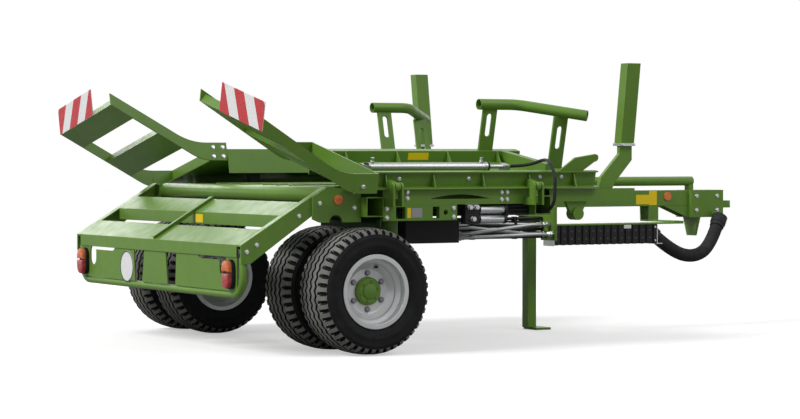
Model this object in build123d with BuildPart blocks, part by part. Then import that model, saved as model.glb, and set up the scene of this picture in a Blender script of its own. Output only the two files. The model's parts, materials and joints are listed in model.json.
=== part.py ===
from build123d import *
import os
from math import cos, pi, radians, sin, tan

os.makedirs("parts", exist_ok=True)

# A towed collector for big square bales, in millimetres.
# X runs forward, Y to the left and Z up. The ground is Z 0, and each X below is measured from the axle.

# Overall reach, which sets where the axle lies in the part's frame
FRONT_REACH = 3700.0        # axle to the front of the towing eye
REAR_REACH = 845.0          # axle to the rear face of the tail lamps
AXLE_X = (REAR_REACH - FRONT_REACH) / 2

# Clearances
MOVING_GAP = 6.0            # between pieces that move past each other
SEAT_GAP = 0.3              # between a rest and what lies on it
RUNNING_GAP = 0.05          # radial, round a turning pin or shaft
BEAD_GAP = 0.5              # radial, between tyre or hub and rim

# Main frame
FRAME_HALF_W = 1300.0       # centre line to the open ends of the cross tubes
TYRE_D = 760.0
TYRE_ROOM = 60.0            # tyres to the frame above them
TUBE = 120.0                # cross tubes, square
TUBE_WALL = 8.0
REAR_TUBE_X = 50.0
FRONT_TUBE_X = 1250.0
LONG_BEAM_W = 100.0
SIDE_BEAM_INSET = 10.0      # end of a cross tube to the side beam's outer face
SIDE_BEAM_W = 80.0
SIDE_BEAM_H = 95.0
SIDE_BEAM_UP = 70.0         # frame's underside to the side beam's underside
SLOT_LENGTH = 420.0
SLOT_RISE = 26.0
SLOT_UP = 34.0              # side beam's underside to the slot
RAIL_T = 40.0
RAIL_H = 96.0
RAIL_END_X = 630.0
RAIL_WINDOWS = ((232.0, 64.0), (480.0, 46.0))    # middle X, length
RAIL_WINDOW_H = 70.0
RAIL_HOLE = (550.0, 30.0)   # X, diameter
FRAME_BOTTOM = TYRE_D + TYRE_ROOM
FRAME_TOP = FRAME_BOTTOM + TUBE
REAR_TUBE_FRONT = REAR_TUBE_X + TUBE / 2
REAR_TUBE_REAR = REAR_TUBE_X - TUBE / 2
FRONT_TUBE_FRONT = FRONT_TUBE_X + TUBE / 2
FRONT_TUBE_REAR = FRONT_TUBE_X - TUBE / 2
SIDE_BEAM_OUT = FRAME_HALF_W - SIDE_BEAM_INSET
SIDE_BEAM_Z = (FRAME_BOTTOM + SIDE_BEAM_UP, FRAME_BOTTOM + SIDE_BEAM_UP + SIDE_BEAM_H)
RAIL_Z = SIDE_BEAM_Z[0] - RAIL_H

# Twin wheels
PAIR_INSET = 270.0          # end of a cross tube to the middle of a twin pair
TYRE_W = 330.0
BEAD_D = 406.0
BEAD_FOOT = 24.0            # straight side of the bead
WALL_BULGE = 76.0           # bead to the widest point, radially
WALL_TOP = 138.0            # bead to the top of the side wall, radially
WALL_INSET = 6.0            # widest point to the top of the side wall
CORNER_DROP = 22.0          # tread to the middle of the shoulder's round
CORNER_INSET = 21.5
SHOULDER_DROP = 7.0
SHOULDER_INSET = 56.0
RIM_FLANGE_D = 446.0
RIM_SHEET = 8.0
RIM_HALF_W = 140.0          # between the flanges, half
BEAD_SEAT_W = 40.0
WELL_DROP = 27.0            # bead seat to the bottom of the well
WELL_SLOPE = 22.0
DISC_T = 12.0
DISC_OUT = 29.0             # tyre centre to the middle of the disc, away from the leg
DISC_CONE = (35.0, 35.0)    # radial and outward run of the cone between disc and well
TWIN_SPACING = 450.0
HUB_R = 75.0
HUB_FLANGE_R = 112.0
HUB_FLANGE_T = 20.0
HUB_CAP_R = 83.0
HUB_CAP_L = 44.0
HUB_CAP_CHAMFER = 14.0
SHAFT_R = 40.0
AXLE_Z = TYRE_D / 2
PAIR_Y = FRAME_HALF_W - PAIR_INSET

# Castors
LEG_T = 70.0
LEG_BOSS_R = 82.0
TRAIL = 300.0               # axle to the king pin
HEAD_L = 112.0
HEAD_H = 60.0
KING_PIN_R = 30.0
KING_PIN_L = 124.0
TURNTABLE_R = 54.0
TURNTABLE_T = 40.0
HOUSING_BOTTOM = FRAME_BOTTOM - KING_PIN_L
TURNTABLE_TOP = HOUSING_BOTTOM - MOVING_GAP
LEG_TOP = TURNTABLE_TOP - TURNTABLE_T

# Deck, rear roller and the ramp behind it
RAMP_INSET = 84.0           # end of a cross tube to the ramp's side
DECK_UP = 60.0              # cross tubes to the deck's top
DECK_T = 6.0
DECK_INSET = 136.0          # ramp's side to the deck's side
DECK_OVERHANG = 100.0       # behind the rear cross tube
BEARER_T = 10.0
INNER_BEARER_Y = 400.0
SLIDE_BAR_Y = (150.0, 330.0, 510.0)
SLIDE_BAR_W = 30.0
SLIDE_BAR_H = 8.0
ROLLER_D = 96.0
ROLLER_INSET = 81.0         # ramp's side to the roller's end
DECK_ROLLER_GAP = 28.0
ROLLER_RAMP_GAP = 12.0
JOURNAL_R = 20.0
JOURNAL_END = 5.0           # journal's end to the side plate
BEARING_SIZE = 84.0
RAMP_WEB_T = 12.0
RAMP_FLANGE_W = 60.0
RAMP_FLANGE_T = 10.0
RAMP_DEPTH = 112.0
RAMP_ANGLE = 31.0
RAMP_TOE = 60.0             # level underside at the ramp's end
SLAT_T = 8.0
SLAT_LIP = 75.0
FIRST_SLAT = 146.0          # top of the ramp to the first slat
FIRST_SLAT_L = 130.0
LAST_SLAT_L = 148.0
SPINE_W = 16.0
SPINE_H = 18.0
SIDE_PLATE_T = 16.0
SIDE_PLATE_DROP = 30.0      # below the cross tubes
SIDE_PLATE_UP = 12.0        # above the side beams
SIDE_PLATE_LAP = 90.0       # over the ramp's side
SIDE_PLATE_CORNER = (50.0, 20.0)
ARCH_R = 45.0
ARCH_BACK = 170.0           # rear cross tube to the arch in the side plate
RAMP_HALF_W = FRAME_HALF_W - RAMP_INSET
DECK_HALF_W = RAMP_HALF_W - DECK_INSET
BEARER_Y = (INNER_BEARER_Y, DECK_HALF_W - BEARER_T)
DECK_Z = FRAME_TOP + DECK_UP
DECK_REAR = REAR_TUBE_REAR - DECK_OVERHANG
ROLLER_HALF_L = RAMP_HALF_W - ROLLER_INSET
ROLLER_X = DECK_REAR - DECK_ROLLER_GAP - ROLLER_D / 2
ROLLER_Z = DECK_Z - ROLLER_D / 2
RAMP_TOP_X = ROLLER_X - ROLLER_D / 2 - ROLLER_RAMP_GAP
SIDE_PLATE_Z = FRAME_BOTTOM - SIDE_PLATE_DROP

# Underrun tube, lamp plates and lamps, below the end of the ramp
LENS_DEPTH = 42.0
UNDERRUN_D = 46.0
UNDERRUN_DROP = 297.0       # end of the ramp to the tube's axis
UNDERRUN_BEND = 110.0
LAMP_PLATE_T = 8.0
LAMP_PLATE_NEAR = 300.0
LAMP_PLATE_INSET = 66.0     # ramp's side to the lamp plate
LAMP_PLATE_DROP = 20.0      # end of the ramp to the plate's top
PLATE_LEAN = 18.0           # lean of the plate's inner edge
PLATE_CORNER_R = 55.0
PLATE_NOTCH = (360.0, 110.0)
PLATE_NOTCH_OUT = 60.0      # plate's middle to the notch
PLATE_HOLE = (130.0, 92.0)
PLATE_HOLE_IN = 118.0       # lamp to the hole
PLATE_HOLE_UP = 45.0
CENTRE_PLATE_HALF = 190.0
CENTRE_PLATE_TAPER = 40.0
LAMP_INSET = 136.0          # ramp's side to the lamp's middle
LAMP_DROP = 175.0
LAMP_SIZE = (104.0, 176.0)
DISC_D = 200.0
DISC_Y = 420.0
DISC_DROP = 12.0            # lamp's middle to the disc's
SIGN_T = 3.0
RAMP_END_X = LENS_DEPTH - REAR_REACH
RAMP_END_Z = DECK_Z - (RAMP_TOP_X - RAMP_END_X) * tan(radians(RAMP_ANGLE))
LAMP_Y = RAMP_HALF_W - LAMP_INSET
LAMP_Z = RAMP_END_Z - LAMP_DROP
UNDERRUN_Z = RAMP_END_Z - UNDERRUN_DROP
LAMP_PLATE_Y = (LAMP_PLATE_NEAR, RAMP_HALF_W - LAMP_PLATE_INSET)
SLATS = (                   # front X, rear X
    (RAMP_TOP_X - FIRST_SLAT, RAMP_TOP_X - FIRST_SLAT - FIRST_SLAT_L),
    (RAMP_END_X + LAST_SLAT_L, RAMP_END_X),
)

# Side tables, at rest folded inwards over the deck
HINGE_OUT = 80.0            # end of a cross tube to the hinge axis
FOLD_TILT = 13.0            # table plane to the horizontal at rest
WORK_OFFSET = 30.0          # hinge axis to the work surface
PANEL_T = 8.0
TABLE_NEAR = 46.0           # hinge axis to the panel's near edge
TABLE_FAR = 820.0           # hinge axis to the panel's free edge
TABLE_AHEAD = 410.0         # front cross tube to the table's front edge
CORNER_BACK = 160.0         # table's front edge to where the free edge turns
NOSE_L = 75.0               # ahead of the front edge, below the skid pipe's leg
NOSE_ACROSS = 470.0
HINGE_RAIL_FAR = 122.0      # hinge axis to the inner face of the hinge rail's web
FREE_RAIL = (758.0, 820.0)  # across the table
HINGE_RAIL_TOP = 70.0
FREE_RAIL_TOP = 46.0
HINGE_FLANGE_W = 24.0       # along the top of the hinge rail's web
GUARD_H = 88.0              # guard plate along the free edge, beyond the work surface
GUARD_LAP = 40.0            # the guard plate's lap on the free rail
CHANNEL_T = 8.0
HINGE_GUSSET_X = (130.0, 464.0, 816.0, 1156.0, 1490.0)
FREE_GUSSET_X = (210.0, 580.0, 953.0, 1327.0)
GUSSET_T = 8.0
HINGE_GUSSET_L = 60.0
FREE_GUSSET_L = 70.0
BRACE_W = 52.0
BRACE_BACK = (280.0, 170.0)     # table's front edge to the two ends of the slanting brace
BRACE_ACROSS = (765.0, 400.0)
LEVER_PLATE_T = 14.0
LEVER_PLATE_H = 105.0
LEVER_PLATE_L = 280.0
LEVER_EYE_R = 24.0
KNUCKLE_IN = 40.0           # cross tube to the nearest knuckle's middle
KNUCKLE_W = 34.0
KNUCKLE_R = 26.0
HINGE_PIN_R = 15.0
EAR_T = 14.0
EAR_H = 46.0
EAR_DROP = 6.0              # side beam's underside to the ear's
REST_X = (250.0, 1000.0)
REST_IN = 680.0             # hinge axis to the rests
REST_W = 70.0
HINGE_Y = FRAME_HALF_W + HINGE_OUT
HINGE_Z = DECK_Z
TABLE_FRONT = FRONT_TUBE_X + TABLE_AHEAD
TABLE_CORNER = TABLE_FRONT - CORNER_BACK
KNUCKLE_X = (REAR_TUBE_FRONT + KNUCKLE_IN, FRONT_TUBE_REAR - KNUCKLE_IN)
EAR_Z = (SIDE_BEAM_Z[0] - EAR_DROP, SIDE_BEAM_Z[0] - EAR_DROP + EAR_H)
REST_Y = HINGE_Y - REST_IN

# Ramps at the rear of the tables
TIP_X = -800.0
TIP_RISE = 341.0            # hinge plane to the work edge at the tip
TIP_DEPTH = 75.0
ROOT_DEPTH = 90.0           # hinge plane to the upper edge at the root
WORK_BEND_R = 300.0
BACK_BEND_R = 400.0
RAMP_SIDE = (-35.0, TABLE_FAR)
RAMP_SIDE_T = 12.0
RAMP_SHEET = 8.0
RAMP_LIP = 52.0
CROSS_PLATES = ((0.0, 175.0), (365.0, 560.0))         # along the slope, from the tip
BOARD_W = 565.0
BOARD_H = 175.0
BOARD_T = 6.0

# Skid pipes over the tables
SKID_D = 70.0
SKID_WALL = 5.0
SKID_RISE = 346.0
SKID_BACK = (500.0, 210.0)  # table's front edge to the pipe's rear end and to its bend
SKID_AHEAD = 120.0          # table's front edge to the pipe's front end
SKID_BEND_R = 160.0
SKID_LEG_T = 16.0
SKID_LEG_W = 105.0
SKID_LEG_BACK = 410.0       # table's front edge to the rear leg
SKID_LEG_X = (TABLE_FRONT - SKID_LEG_BACK, TABLE_FRONT)
LEG_SLOT = (150.0, 40.0)
LEG_SLOT_UP = 30.0
SKID_REAR = TABLE_FRONT - SKID_BACK[0]
SKID_BEND_X = TABLE_FRONT - SKID_BACK[1]
SKID_FRONT = TABLE_FRONT + SKID_AHEAD
SKID_ACROSS = (FREE_RAIL[0] + FREE_RAIL[1]) / 2

# Long cylinders on the tables
TABLE_CYL_D = 50.0
TABLE_ROD_D = 28.0
GLAND_D = 58.0
GLAND_RING_L = 26.0
TABLE_CYL_X = (170.0, 1050.0)
TABLE_ROD_END = 1180.0
TABLE_CYL_ACROSS = 430.0
TABLE_CYL_UP = 20.0         # panel to the cylinder
CYL_FOOT = (40.0, 70.0)

# Front arms and posts
ARM_INSET = 20.0            # end of a cross tube to the arm's side
ARM_SIZE = 80.0
ARM_L = 650.0
BOSS_R = 40.0
BOSS_BACK = 430.0           # arm's end to the boss below it
BOSS_DROP = 77.0
BOSS_PLATE_T = 30.0
POST_BACK = 54.0            # arm's end to the post
POST_SIZE = (100.0, 76.0)   # along X, along Y
POST_WALL = 6.0
POST_UP = 264.0             # deck to the post's foot
POST_L = 506.0
POST_LEAN = 8.0
LEVER_T = 30.0
LEVER_FOOT = (210.0, 100.0) # post to the rear and the front of the lever's foot
LEVER_HEAD = (46.0, 50.0)   # post to the rear and the front of the lever's head
LEVER_BENDS = (70.0, 50.0, 90.0, 40.0)      # heights of its four bends, from its foot or head
LEVER_DRAFT = 22.0
POST_CAP_T = 15.0
ARM_Y = FRAME_HALF_W - ARM_INSET - ARM_SIZE / 2
ARM_Z = FRAME_TOP
ARM_END = FRONT_TUBE_FRONT + ARM_L
POST_X = ARM_END - POST_BACK
POST_BASE_Z = DECK_Z + POST_UP
POST_TOP_Z = POST_BASE_Z + POST_L

# Telescopic drawbar
BEAM = 110.0
BEAM_WALL = 10.0
BEAM_UP = 67.0              # frame's underside to the beam's axis
SLEEVE = 160.0
SLEEVE_WALL = 12.0
SLEEVE_FRONT = 2100.0
BEAM_REAR = 1300.0
PAD_L = 120.0
PAD_INSET = 10.0
EYE_R = 60.0
EYE_BORE_R = 25.0
EYE_T = 50.0
EYE_DROP = 47.0             # beam's axis to the eye's middle
EYE_NECK = 55.0
HEAD_BOX_L = 280.0
HEAD_BOX_W = 180.0
HEAD_BELOW = 137.0          # beam's axis to the head's underside
HEAD_WALL = 14.0
LUG_T = 20.0
LUG_AHEAD = 60.0            # head's rear to the lug
LUG_H = 130.0
LUG_TOE = 90.0
HEAD_GUSSET_L = 205.0
HEAD_GUSSET_T = 14.0
BARREL_R = 32.5
BARREL_BORE_R = 24.0
BARREL_L = 1040.0
BARREL_AHEAD = 65.0         # head's rear to the barrel's front end
BARREL_END = 30.0
BARREL_GLAND = 24.0
BARREL_FOOT = (50.0, 40.0)  # width, length
ROD_R = 20.0
ROD_IN = 90.0               # rod's length inside the barrel
ROD_ANCHOR_X = 1400.0
ROD_ANCHOR = 60.0
ROD_ANCHOR_UP = 34.0
BEAM_Z = FRAME_BOTTOM + BEAM_UP
SLEEVE_X = (REAR_TUBE_FRONT, SLEEVE_FRONT)
EYE_Z = BEAM_Z - EYE_DROP
HEAD_FRONT = FRONT_REACH - EYE_R - EYE_NECK
HEAD_REAR = HEAD_FRONT - HEAD_BOX_L
HEAD_BOX_Z = (BEAM_Z - HEAD_BELOW, BEAM_Z + BEAM / 2)
BARREL_X = (HEAD_REAR + BARREL_AHEAD - BARREL_L, HEAD_REAR + BARREL_AHEAD)
CYL_Z = BEAM_Z + SLEEVE / 2 + BARREL_R + MOVING_GAP
ROD_END_X = BARREL_X[0] + ROD_IN

# Energy chain on its tray, and its hose loop
CHAIN_Y = -290.0
CHAIN_W = 116.0
CHAIN_BELOW = (303.0, 171.0)    # beam's axis to the chain's underside and top
CHAIN_L = 820.0
CHAIN_BACK = 515.0          # head's rear to the chain's front end
CHAIN_LINKS = 14
LINK_SHARE = 0.7            # of each link's length is a plate, the rest is a groove
LINK_GROOVE = 8.0
LINK_ROUND = 14.0
TRAY_T = 10.0
TRAY_BACK = 260.0           # head's rear to the tray's front end
TRAY_ARM_L = 80.0
TRAY_WEB_T = 12.0
TRAY_WEB_L = (84.0, 80.0)   # along the beam, along the tray
CHAIN_END_L = 25.0
GLAND_WALL = 8.0
GLAND_L = 60.0
SOCKET_BLOCK = (60.0, 50.0)     # length, height
SOCKET_LAP = 10.0
HOSE_D = 90.0               # a bundle in a soft sleeve
HOSE_ROUTE = (              # X from the head's rear, Y, Z from the beam's axis
    (-463.0, -290.0, -255.0),
    (-309.0, -286.0, -367.0),
    (-100.0, -252.0, -411.0),
    (80.0, -200.0, -339.0),
    (185.0, -150.0, -181.0),
)
CHAIN_Z = (BEAM_Z - CHAIN_BELOW[0], BEAM_Z - CHAIN_BELOW[1])
CHAIN_X = (HEAD_REAR - CHAIN_BACK - CHAIN_L, HEAD_REAR - CHAIN_BACK)
TRAY_FRONT = HEAD_REAR - TRAY_BACK

# Parking stand
STAND_BACK = 100.0          # sleeve's front end to the stand's pivot
STAND_BELOW = 152.0         # beam's axis to the pivot
STAND_LEG = 70.0
STAND_PIN_R = 15.0
STAND_PLATE_T = 12.0
STAND_PLATE_L = 110.0
STAND_PLATE_BELOW = 50.0    # pivot to the bracket's underside
FOOT = (120.0, 160.0, 16.0)
FOOT_AHEAD = 5.0            # pivot to the foot's rear edge
STAND_X = SLEEVE_FRONT - STAND_BACK
STAND_Z = BEAM_Z - STAND_BELOW

# Hydraulics below the frame
BOX_X = (700.0, 1100.0)
BOX_HALF_W = 550.0
BOX_DROP = 40.0             # frame's underside to the box
BOX_H = 155.0
BOX_HANGER = 120.0
TANK_GAP = 10.0
TANK_L = 105.0
TANK_HALF_W = 370.0
TANK_ROUND = 30.0
TANK_RAISE = 20.0           # box's underside to the tank's
FILTER_R = 27.0
FILTER_L = 210.0
FILTER_DROP = (34.0, 92.0)  # side beam's underside to the filters
FILTER_BLOCK = 95.0
FILTER_AHEAD = 60.0         # side rail's end to the filter block
LINE_D = 24.0
LINE_L = 740.0              # valve box to the lines' bracket
LINE_RUN = 140.0            # straight at both ends
LINE_BEND_R = 120.0
LINE_ROWS = (               # Y, height above the box's underside at the box and at the bracket
    (-405.0, 122.0, 106.0),
    (-445.0, 92.0, 44.0),
    (-485.0, 56.0, 106.0),
    (-525.0, 30.0, 44.0),
)
LINE_PLATE_T = 12.0
LINE_PLATE_Y = (-560.0, -380.0)
LINE_PLATE_LAP = 45.0       # up the side of the sleeve
REFLECTOR_R = 30.0
REFLECTOR_T = 8.0
SIDE_REFLECTOR = (20.0, 30.0)   # ahead of the roller, above the side plate's middle
DRAWBAR_REFLECTOR = (185.0, 13.0)   # behind the head, above the beam's axis
BOX_Z = (FRAME_BOTTOM - BOX_DROP - BOX_H, FRAME_BOTTOM - BOX_DROP)
TANK_X = (BOX_X[0] - TANK_GAP - TANK_L, BOX_X[0] - TANK_GAP)

FROM_AXLE = Plane((AXLE_X, 0, 0))
SIDES = (("right", -1.0), ("left", 1.0))
SLOPE = tan(radians(RAMP_ANGLE))
TILT = radians(FOLD_TILT)
TABLE = Plane((AXLE_X, -HINGE_Y, HINGE_Z), x_dir=(1, 0, 0), z_dir=(0, -sin(TILT), cos(TILT)))
FROM_START = (Align.CENTER, Align.CENTER, Align.MIN)
ALONG_X = (0, 90, 0)
ALONG_Y = (90, 0, 0)


def block(x, y, z, mode=Mode.ADD):
    """A box given by its limits along the three axes of the current plane."""
    with Locations(((x[0] + x[1]) / 2, (y[0] + y[1]) / 2, (z[0] + z[1]) / 2)):
        Box(x[1] - x[0], y[1] - y[0], z[1] - z[0], mode=mode)


def tube(x, y, z, wall):
    """A square or oblong tube along X, open at both ends."""
    block(x, y, z)
    block(x, (y[0] + wall, y[1] - wall), (z[0] + wall, z[1] - wall), mode=Mode.SUBTRACT)


def side_view(y):
    """A plane seen from the right, X and Z in it, at this Y. Extrusions run towards the right."""
    return Plane((AXLE_X, y, 0), x_dir=(1, 0, 0), z_dir=(0, -1, 0))


def rear_view(x):
    """A plane seen from the rear, with outwards (to the right) and Z in it. Extrusions run rearwards."""
    return Plane((AXLE_X + x, 0, 0), x_dir=(0, -1, 0), z_dir=(-1, 0, 0))


def table_edge(across):
    """A plane standing on the table along X, at this distance from the hinge."""
    return Plane(TABLE.from_local_coords((0, across, 0)), x_dir=(1, 0, 0), z_dir=-TABLE.y_dir)


def table_point(x, across, rise):
    return TABLE.from_local_coords((x, across, rise))


def outline(*points):
    """A closed face with straight sides, for the sketch that is open."""
    with BuildSketch(mode=Mode.PRIVATE) as face:
        with BuildLine():
            Polyline(*points, close=True)
        make_face()
    add(face.sketch)


def finish_side(side):
    """The right-hand piece is built first. The left-hand one is its mirror image."""
    if side > 0:
        mirror(about=Plane.XZ, mode=Mode.REPLACE)


def save(builder, name):
    builder.part.label = name
    export_step(builder.part, f"parts/{name}.step")


# Twin wheels and castors
def tyre_section(middle):
    half_bead = RIM_HALF_W - BEAD_GAP
    bead = BEAD_D / 2 + BEAD_GAP
    tread = TYRE_D / 2
    half = TYRE_W / 2
    crown = []
    with BuildSketch(mode=Mode.PRIVATE) as section:
        with BuildLine():
            for way in (1, -1):
                edge = (bead, middle + way * half_bead)
                foot = (bead + BEAD_FOOT, middle + way * half_bead)
                bulge = (bead + WALL_BULGE, middle + way * half)
                wall = (bead + WALL_TOP, middle + way * (half - WALL_INSET))
                corner = (tread - CORNER_DROP, middle + way * (half - CORNER_INSET))
                shoulder = (tread - SHOULDER_DROP, middle + way * (half - SHOULDER_INSET))
                Line((bead, middle), edge)
                Line(edge, foot)
                ThreePointArc(foot, bulge, wall)
                ThreePointArc(wall, corner, shoulder)
                crown.append(shoulder)
            ThreePointArc(crown[0], (tread, middle), crown[1])
        make_face()
    return section.sketch


def rim_section(middle, way):
    """One rim with a drop centre. The leg is on the side that way points to, the disc on the other."""
    seat = BEAD_D / 2
    inside = seat - RIM_SHEET
    bottom = seat - WELL_DROP
    well = bottom - RIM_SHEET
    flange = RIM_FLANGE_D / 2
    lip = RIM_HALF_W + RIM_SHEET
    shelf = RIM_HALF_W - BEAD_SEAT_W
    drop = shelf - WELL_SLOPE
    face = -DISC_OUT - DISC_T / 2
    back = -DISC_OUT + DISC_T / 2
    bore = HUB_CAP_R + BEAD_GAP
    cone_r, cone_w = DISC_CONE
    points = (
        (flange, -lip), (flange, -RIM_HALF_W), (seat, -RIM_HALF_W), (seat, -shelf), (bottom, -drop),
        (bottom, drop), (seat, shelf), (seat, RIM_HALF_W), (flange, RIM_HALF_W), (flange, lip),
        (inside, lip), (inside, shelf), (well, drop), (well, back - cone_w), (well - cone_r, back),
        (bore, back), (bore, face), (well - cone_r, face), (well, face - cone_w), (well, -drop),
        (inside, -shelf), (inside, -lip),
    )
    with BuildSketch(mode=Mode.PRIVATE) as section:
        with BuildLine():
            Polyline(*[(r, middle + way * w) for r, w in points], close=True)
        make_face()
    return section.sketch


DISC_BACK = TWIN_SPACING / 2 + DISC_OUT - DISC_T / 2      # pair's middle to the disc's inner face

for side_name, side in SIDES:
    middle_y = side * PAIR_Y
    section_plane = Plane((AXLE_X, middle_y, AXLE_Z), x_dir=(1, 0, 0), z_dir=(0, 0, 1))
    spin = Axis((AXLE_X, middle_y, AXLE_Z), (0, 1, 0))

    with BuildPart() as tyres:
        with BuildSketch(section_plane):
            for way in (1, -1):
                add(tyre_section(way * TWIN_SPACING / 2))
        revolve(axis=spin)
    save(tyres, f"tyres_{side_name}")

    with BuildPart() as rims:
        with BuildSketch(section_plane):
            for way in (1, -1):
                add(rim_section(way * TWIN_SPACING / 2, -way))
        revolve(axis=spin)
    save(rims, f"rims_{side_name}")

    with BuildPart() as hub:
        with BuildSketch(section_plane):
            outline(
                (0, 0),
                (SHAFT_R, 0),
                (SHAFT_R, LEG_T / 2 + MOVING_GAP),
                (HUB_R, LEG_T / 2 + MOVING_GAP),
                (HUB_R, DISC_BACK - HUB_FLANGE_T),
                (HUB_FLANGE_R, DISC_BACK - HUB_FLANGE_T),
                (HUB_FLANGE_R, DISC_BACK),
                (HUB_CAP_R, DISC_BACK),
                (HUB_CAP_R, DISC_BACK + HUB_CAP_L - HUB_CAP_CHAMFER),
                (HUB_CAP_R - HUB_CAP_CHAMFER, DISC_BACK + HUB_CAP_L),
                (0, DISC_BACK + HUB_CAP_L),
            )
        revolve(axis=spin)
        mirror(about=Plane.XZ.offset(-middle_y))
    save(hub, f"hub_{side_name}")

    with BuildPart() as castor:
        with BuildSketch(side_view(middle_y + LEG_T / 2)):
            with Locations((0, AXLE_Z)):
                Circle(LEG_BOSS_R)
            with Locations((TRAIL, LEG_TOP - HEAD_H / 2)):
                Rectangle(HEAD_L, HEAD_H)
            make_hull()
            with Locations((0, AXLE_Z)):
                Circle(SHAFT_R + RUNNING_GAP, mode=Mode.SUBTRACT)
        extrude(amount=LEG_T)
        with Locations((AXLE_X + TRAIL, middle_y, LEG_TOP)):
            Cylinder(TURNTABLE_R, TURNTABLE_T, align=FROM_START)
            Cylinder(KING_PIN_R, TURNTABLE_T + KING_PIN_L - MOVING_GAP, align=FROM_START)
    save(castor, f"castor_{side_name}")

with BuildPart() as housings:
    for y in (-PAIR_Y, PAIR_Y):
        with Locations((AXLE_X + TRAIL, y, HOUSING_BOTTOM)):
            Cylinder(TURNTABLE_R, KING_PIN_L, align=FROM_START)
            Cylinder(KING_PIN_R + RUNNING_GAP, KING_PIN_L, align=FROM_START, mode=Mode.SUBTRACT)
save(housings, "king_pin_housings")

# Main frame
with BuildPart(FROM_AXLE) as cross_tubes:
    span = (FRAME_BOTTOM, FRAME_TOP)
    hollow = (FRAME_BOTTOM + TUBE_WALL, FRAME_TOP - TUBE_WALL)
    for x, inner in ((REAR_TUBE_X, 0.0), (FRONT_TUBE_X, SLEEVE / 2)):
        outer_x = (x - TUBE / 2, x + TUBE / 2)
        inner_x = (outer_x[0] + TUBE_WALL, outer_x[1] - TUBE_WALL)
        for y in ((-FRAME_HALF_W, -inner), (inner, FRAME_HALF_W)):
            block(outer_x, y, span)
            block(inner_x, y, hollow, mode=Mode.SUBTRACT)
save(cross_tubes, "cross_tubes")

BETWEEN_TUBES = (REAR_TUBE_FRONT, FRONT_TUBE_REAR)
with BuildPart(FROM_AXLE) as long_beams:
    tube(
        BETWEEN_TUBES,
        (-PAIR_Y - LONG_BEAM_W / 2, -PAIR_Y + LONG_BEAM_W / 2),
        (FRAME_BOTTOM, FRAME_TOP),
        TUBE_WALL,
    )
    mirror(about=Plane.XZ)
save(long_beams, "long_beams")

with BuildPart(FROM_AXLE) as side_beams:
    beam_y = (-SIDE_BEAM_OUT, -SIDE_BEAM_OUT + SIDE_BEAM_W)
    block(BETWEEN_TUBES, beam_y, SIDE_BEAM_Z)
    block(
        BETWEEN_TUBES,
        (beam_y[0] + TUBE_WALL, beam_y[1]),
        (SIDE_BEAM_Z[0] + TUBE_WALL, SIDE_BEAM_Z[1] - TUBE_WALL),
        mode=Mode.SUBTRACT,
    )
    slot_z = SIDE_BEAM_Z[0] + SLOT_UP
    slot_x = (REAR_TUBE_FRONT + FRONT_TUBE_REAR) / 2
    slot_ends = ((slot_x - SLOT_LENGTH / 2, slot_z), (slot_x + SLOT_LENGTH / 2, slot_z))
    with BuildSketch(side_view(beam_y[0] + TUBE_WALL)):
        with BuildLine():
            ThreePointArc(slot_ends[0], (slot_x, slot_z + SLOT_RISE), slot_ends[1])
            Line(*slot_ends)
        make_face()
    extrude(amount=TUBE_WALL, mode=Mode.SUBTRACT)
    mirror(about=Plane.XZ)
save(side_beams, "side_beams")

with BuildPart(FROM_AXLE) as side_rails:
    with BuildSketch(side_view(-SIDE_BEAM_OUT + RAIL_T)):
        outline(
            (REAR_TUBE_FRONT, SIDE_BEAM_Z[0]),
            (REAR_TUBE_FRONT, RAIL_Z),
            (RAIL_END_X, RAIL_Z),
            (RAIL_END_X, SIDE_BEAM_Z[0]),
        )
        for x, length in RAIL_WINDOWS:
            with Locations((x, (RAIL_Z + SIDE_BEAM_Z[0]) / 2)):
                Rectangle(length, RAIL_WINDOW_H, mode=Mode.SUBTRACT)
        with Locations((RAIL_HOLE[0], (RAIL_Z + SIDE_BEAM_Z[0]) / 2)):
            Circle(RAIL_HOLE[1] / 2, mode=Mode.SUBTRACT)
    extrude(amount=RAIL_T)
    mirror(about=Plane.XZ)
save(side_rails, "side_rails")

with BuildPart(FROM_AXLE) as deck:
    block((DECK_REAR, FRONT_TUBE_FRONT), (-DECK_HALF_W, DECK_HALF_W), (DECK_Z - DECK_T, DECK_Z))
    for y in BEARER_Y:
        for way in (-1, 1):
            near = min(way * y, way * (y + BEARER_T))
            block((REAR_TUBE_REAR, FRONT_TUBE_FRONT), (near, near + BEARER_T), (FRAME_TOP, DECK_Z - DECK_T))
    for y in SLIDE_BAR_Y:
        for way in (-1, 1):
            block(
                (DECK_REAR, FRONT_TUBE_FRONT),
                (way * y - SLIDE_BAR_W / 2, way * y + SLIDE_BAR_W / 2),
                (DECK_Z, DECK_Z + SLIDE_BAR_H),
            )
save(deck, "deck")

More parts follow.
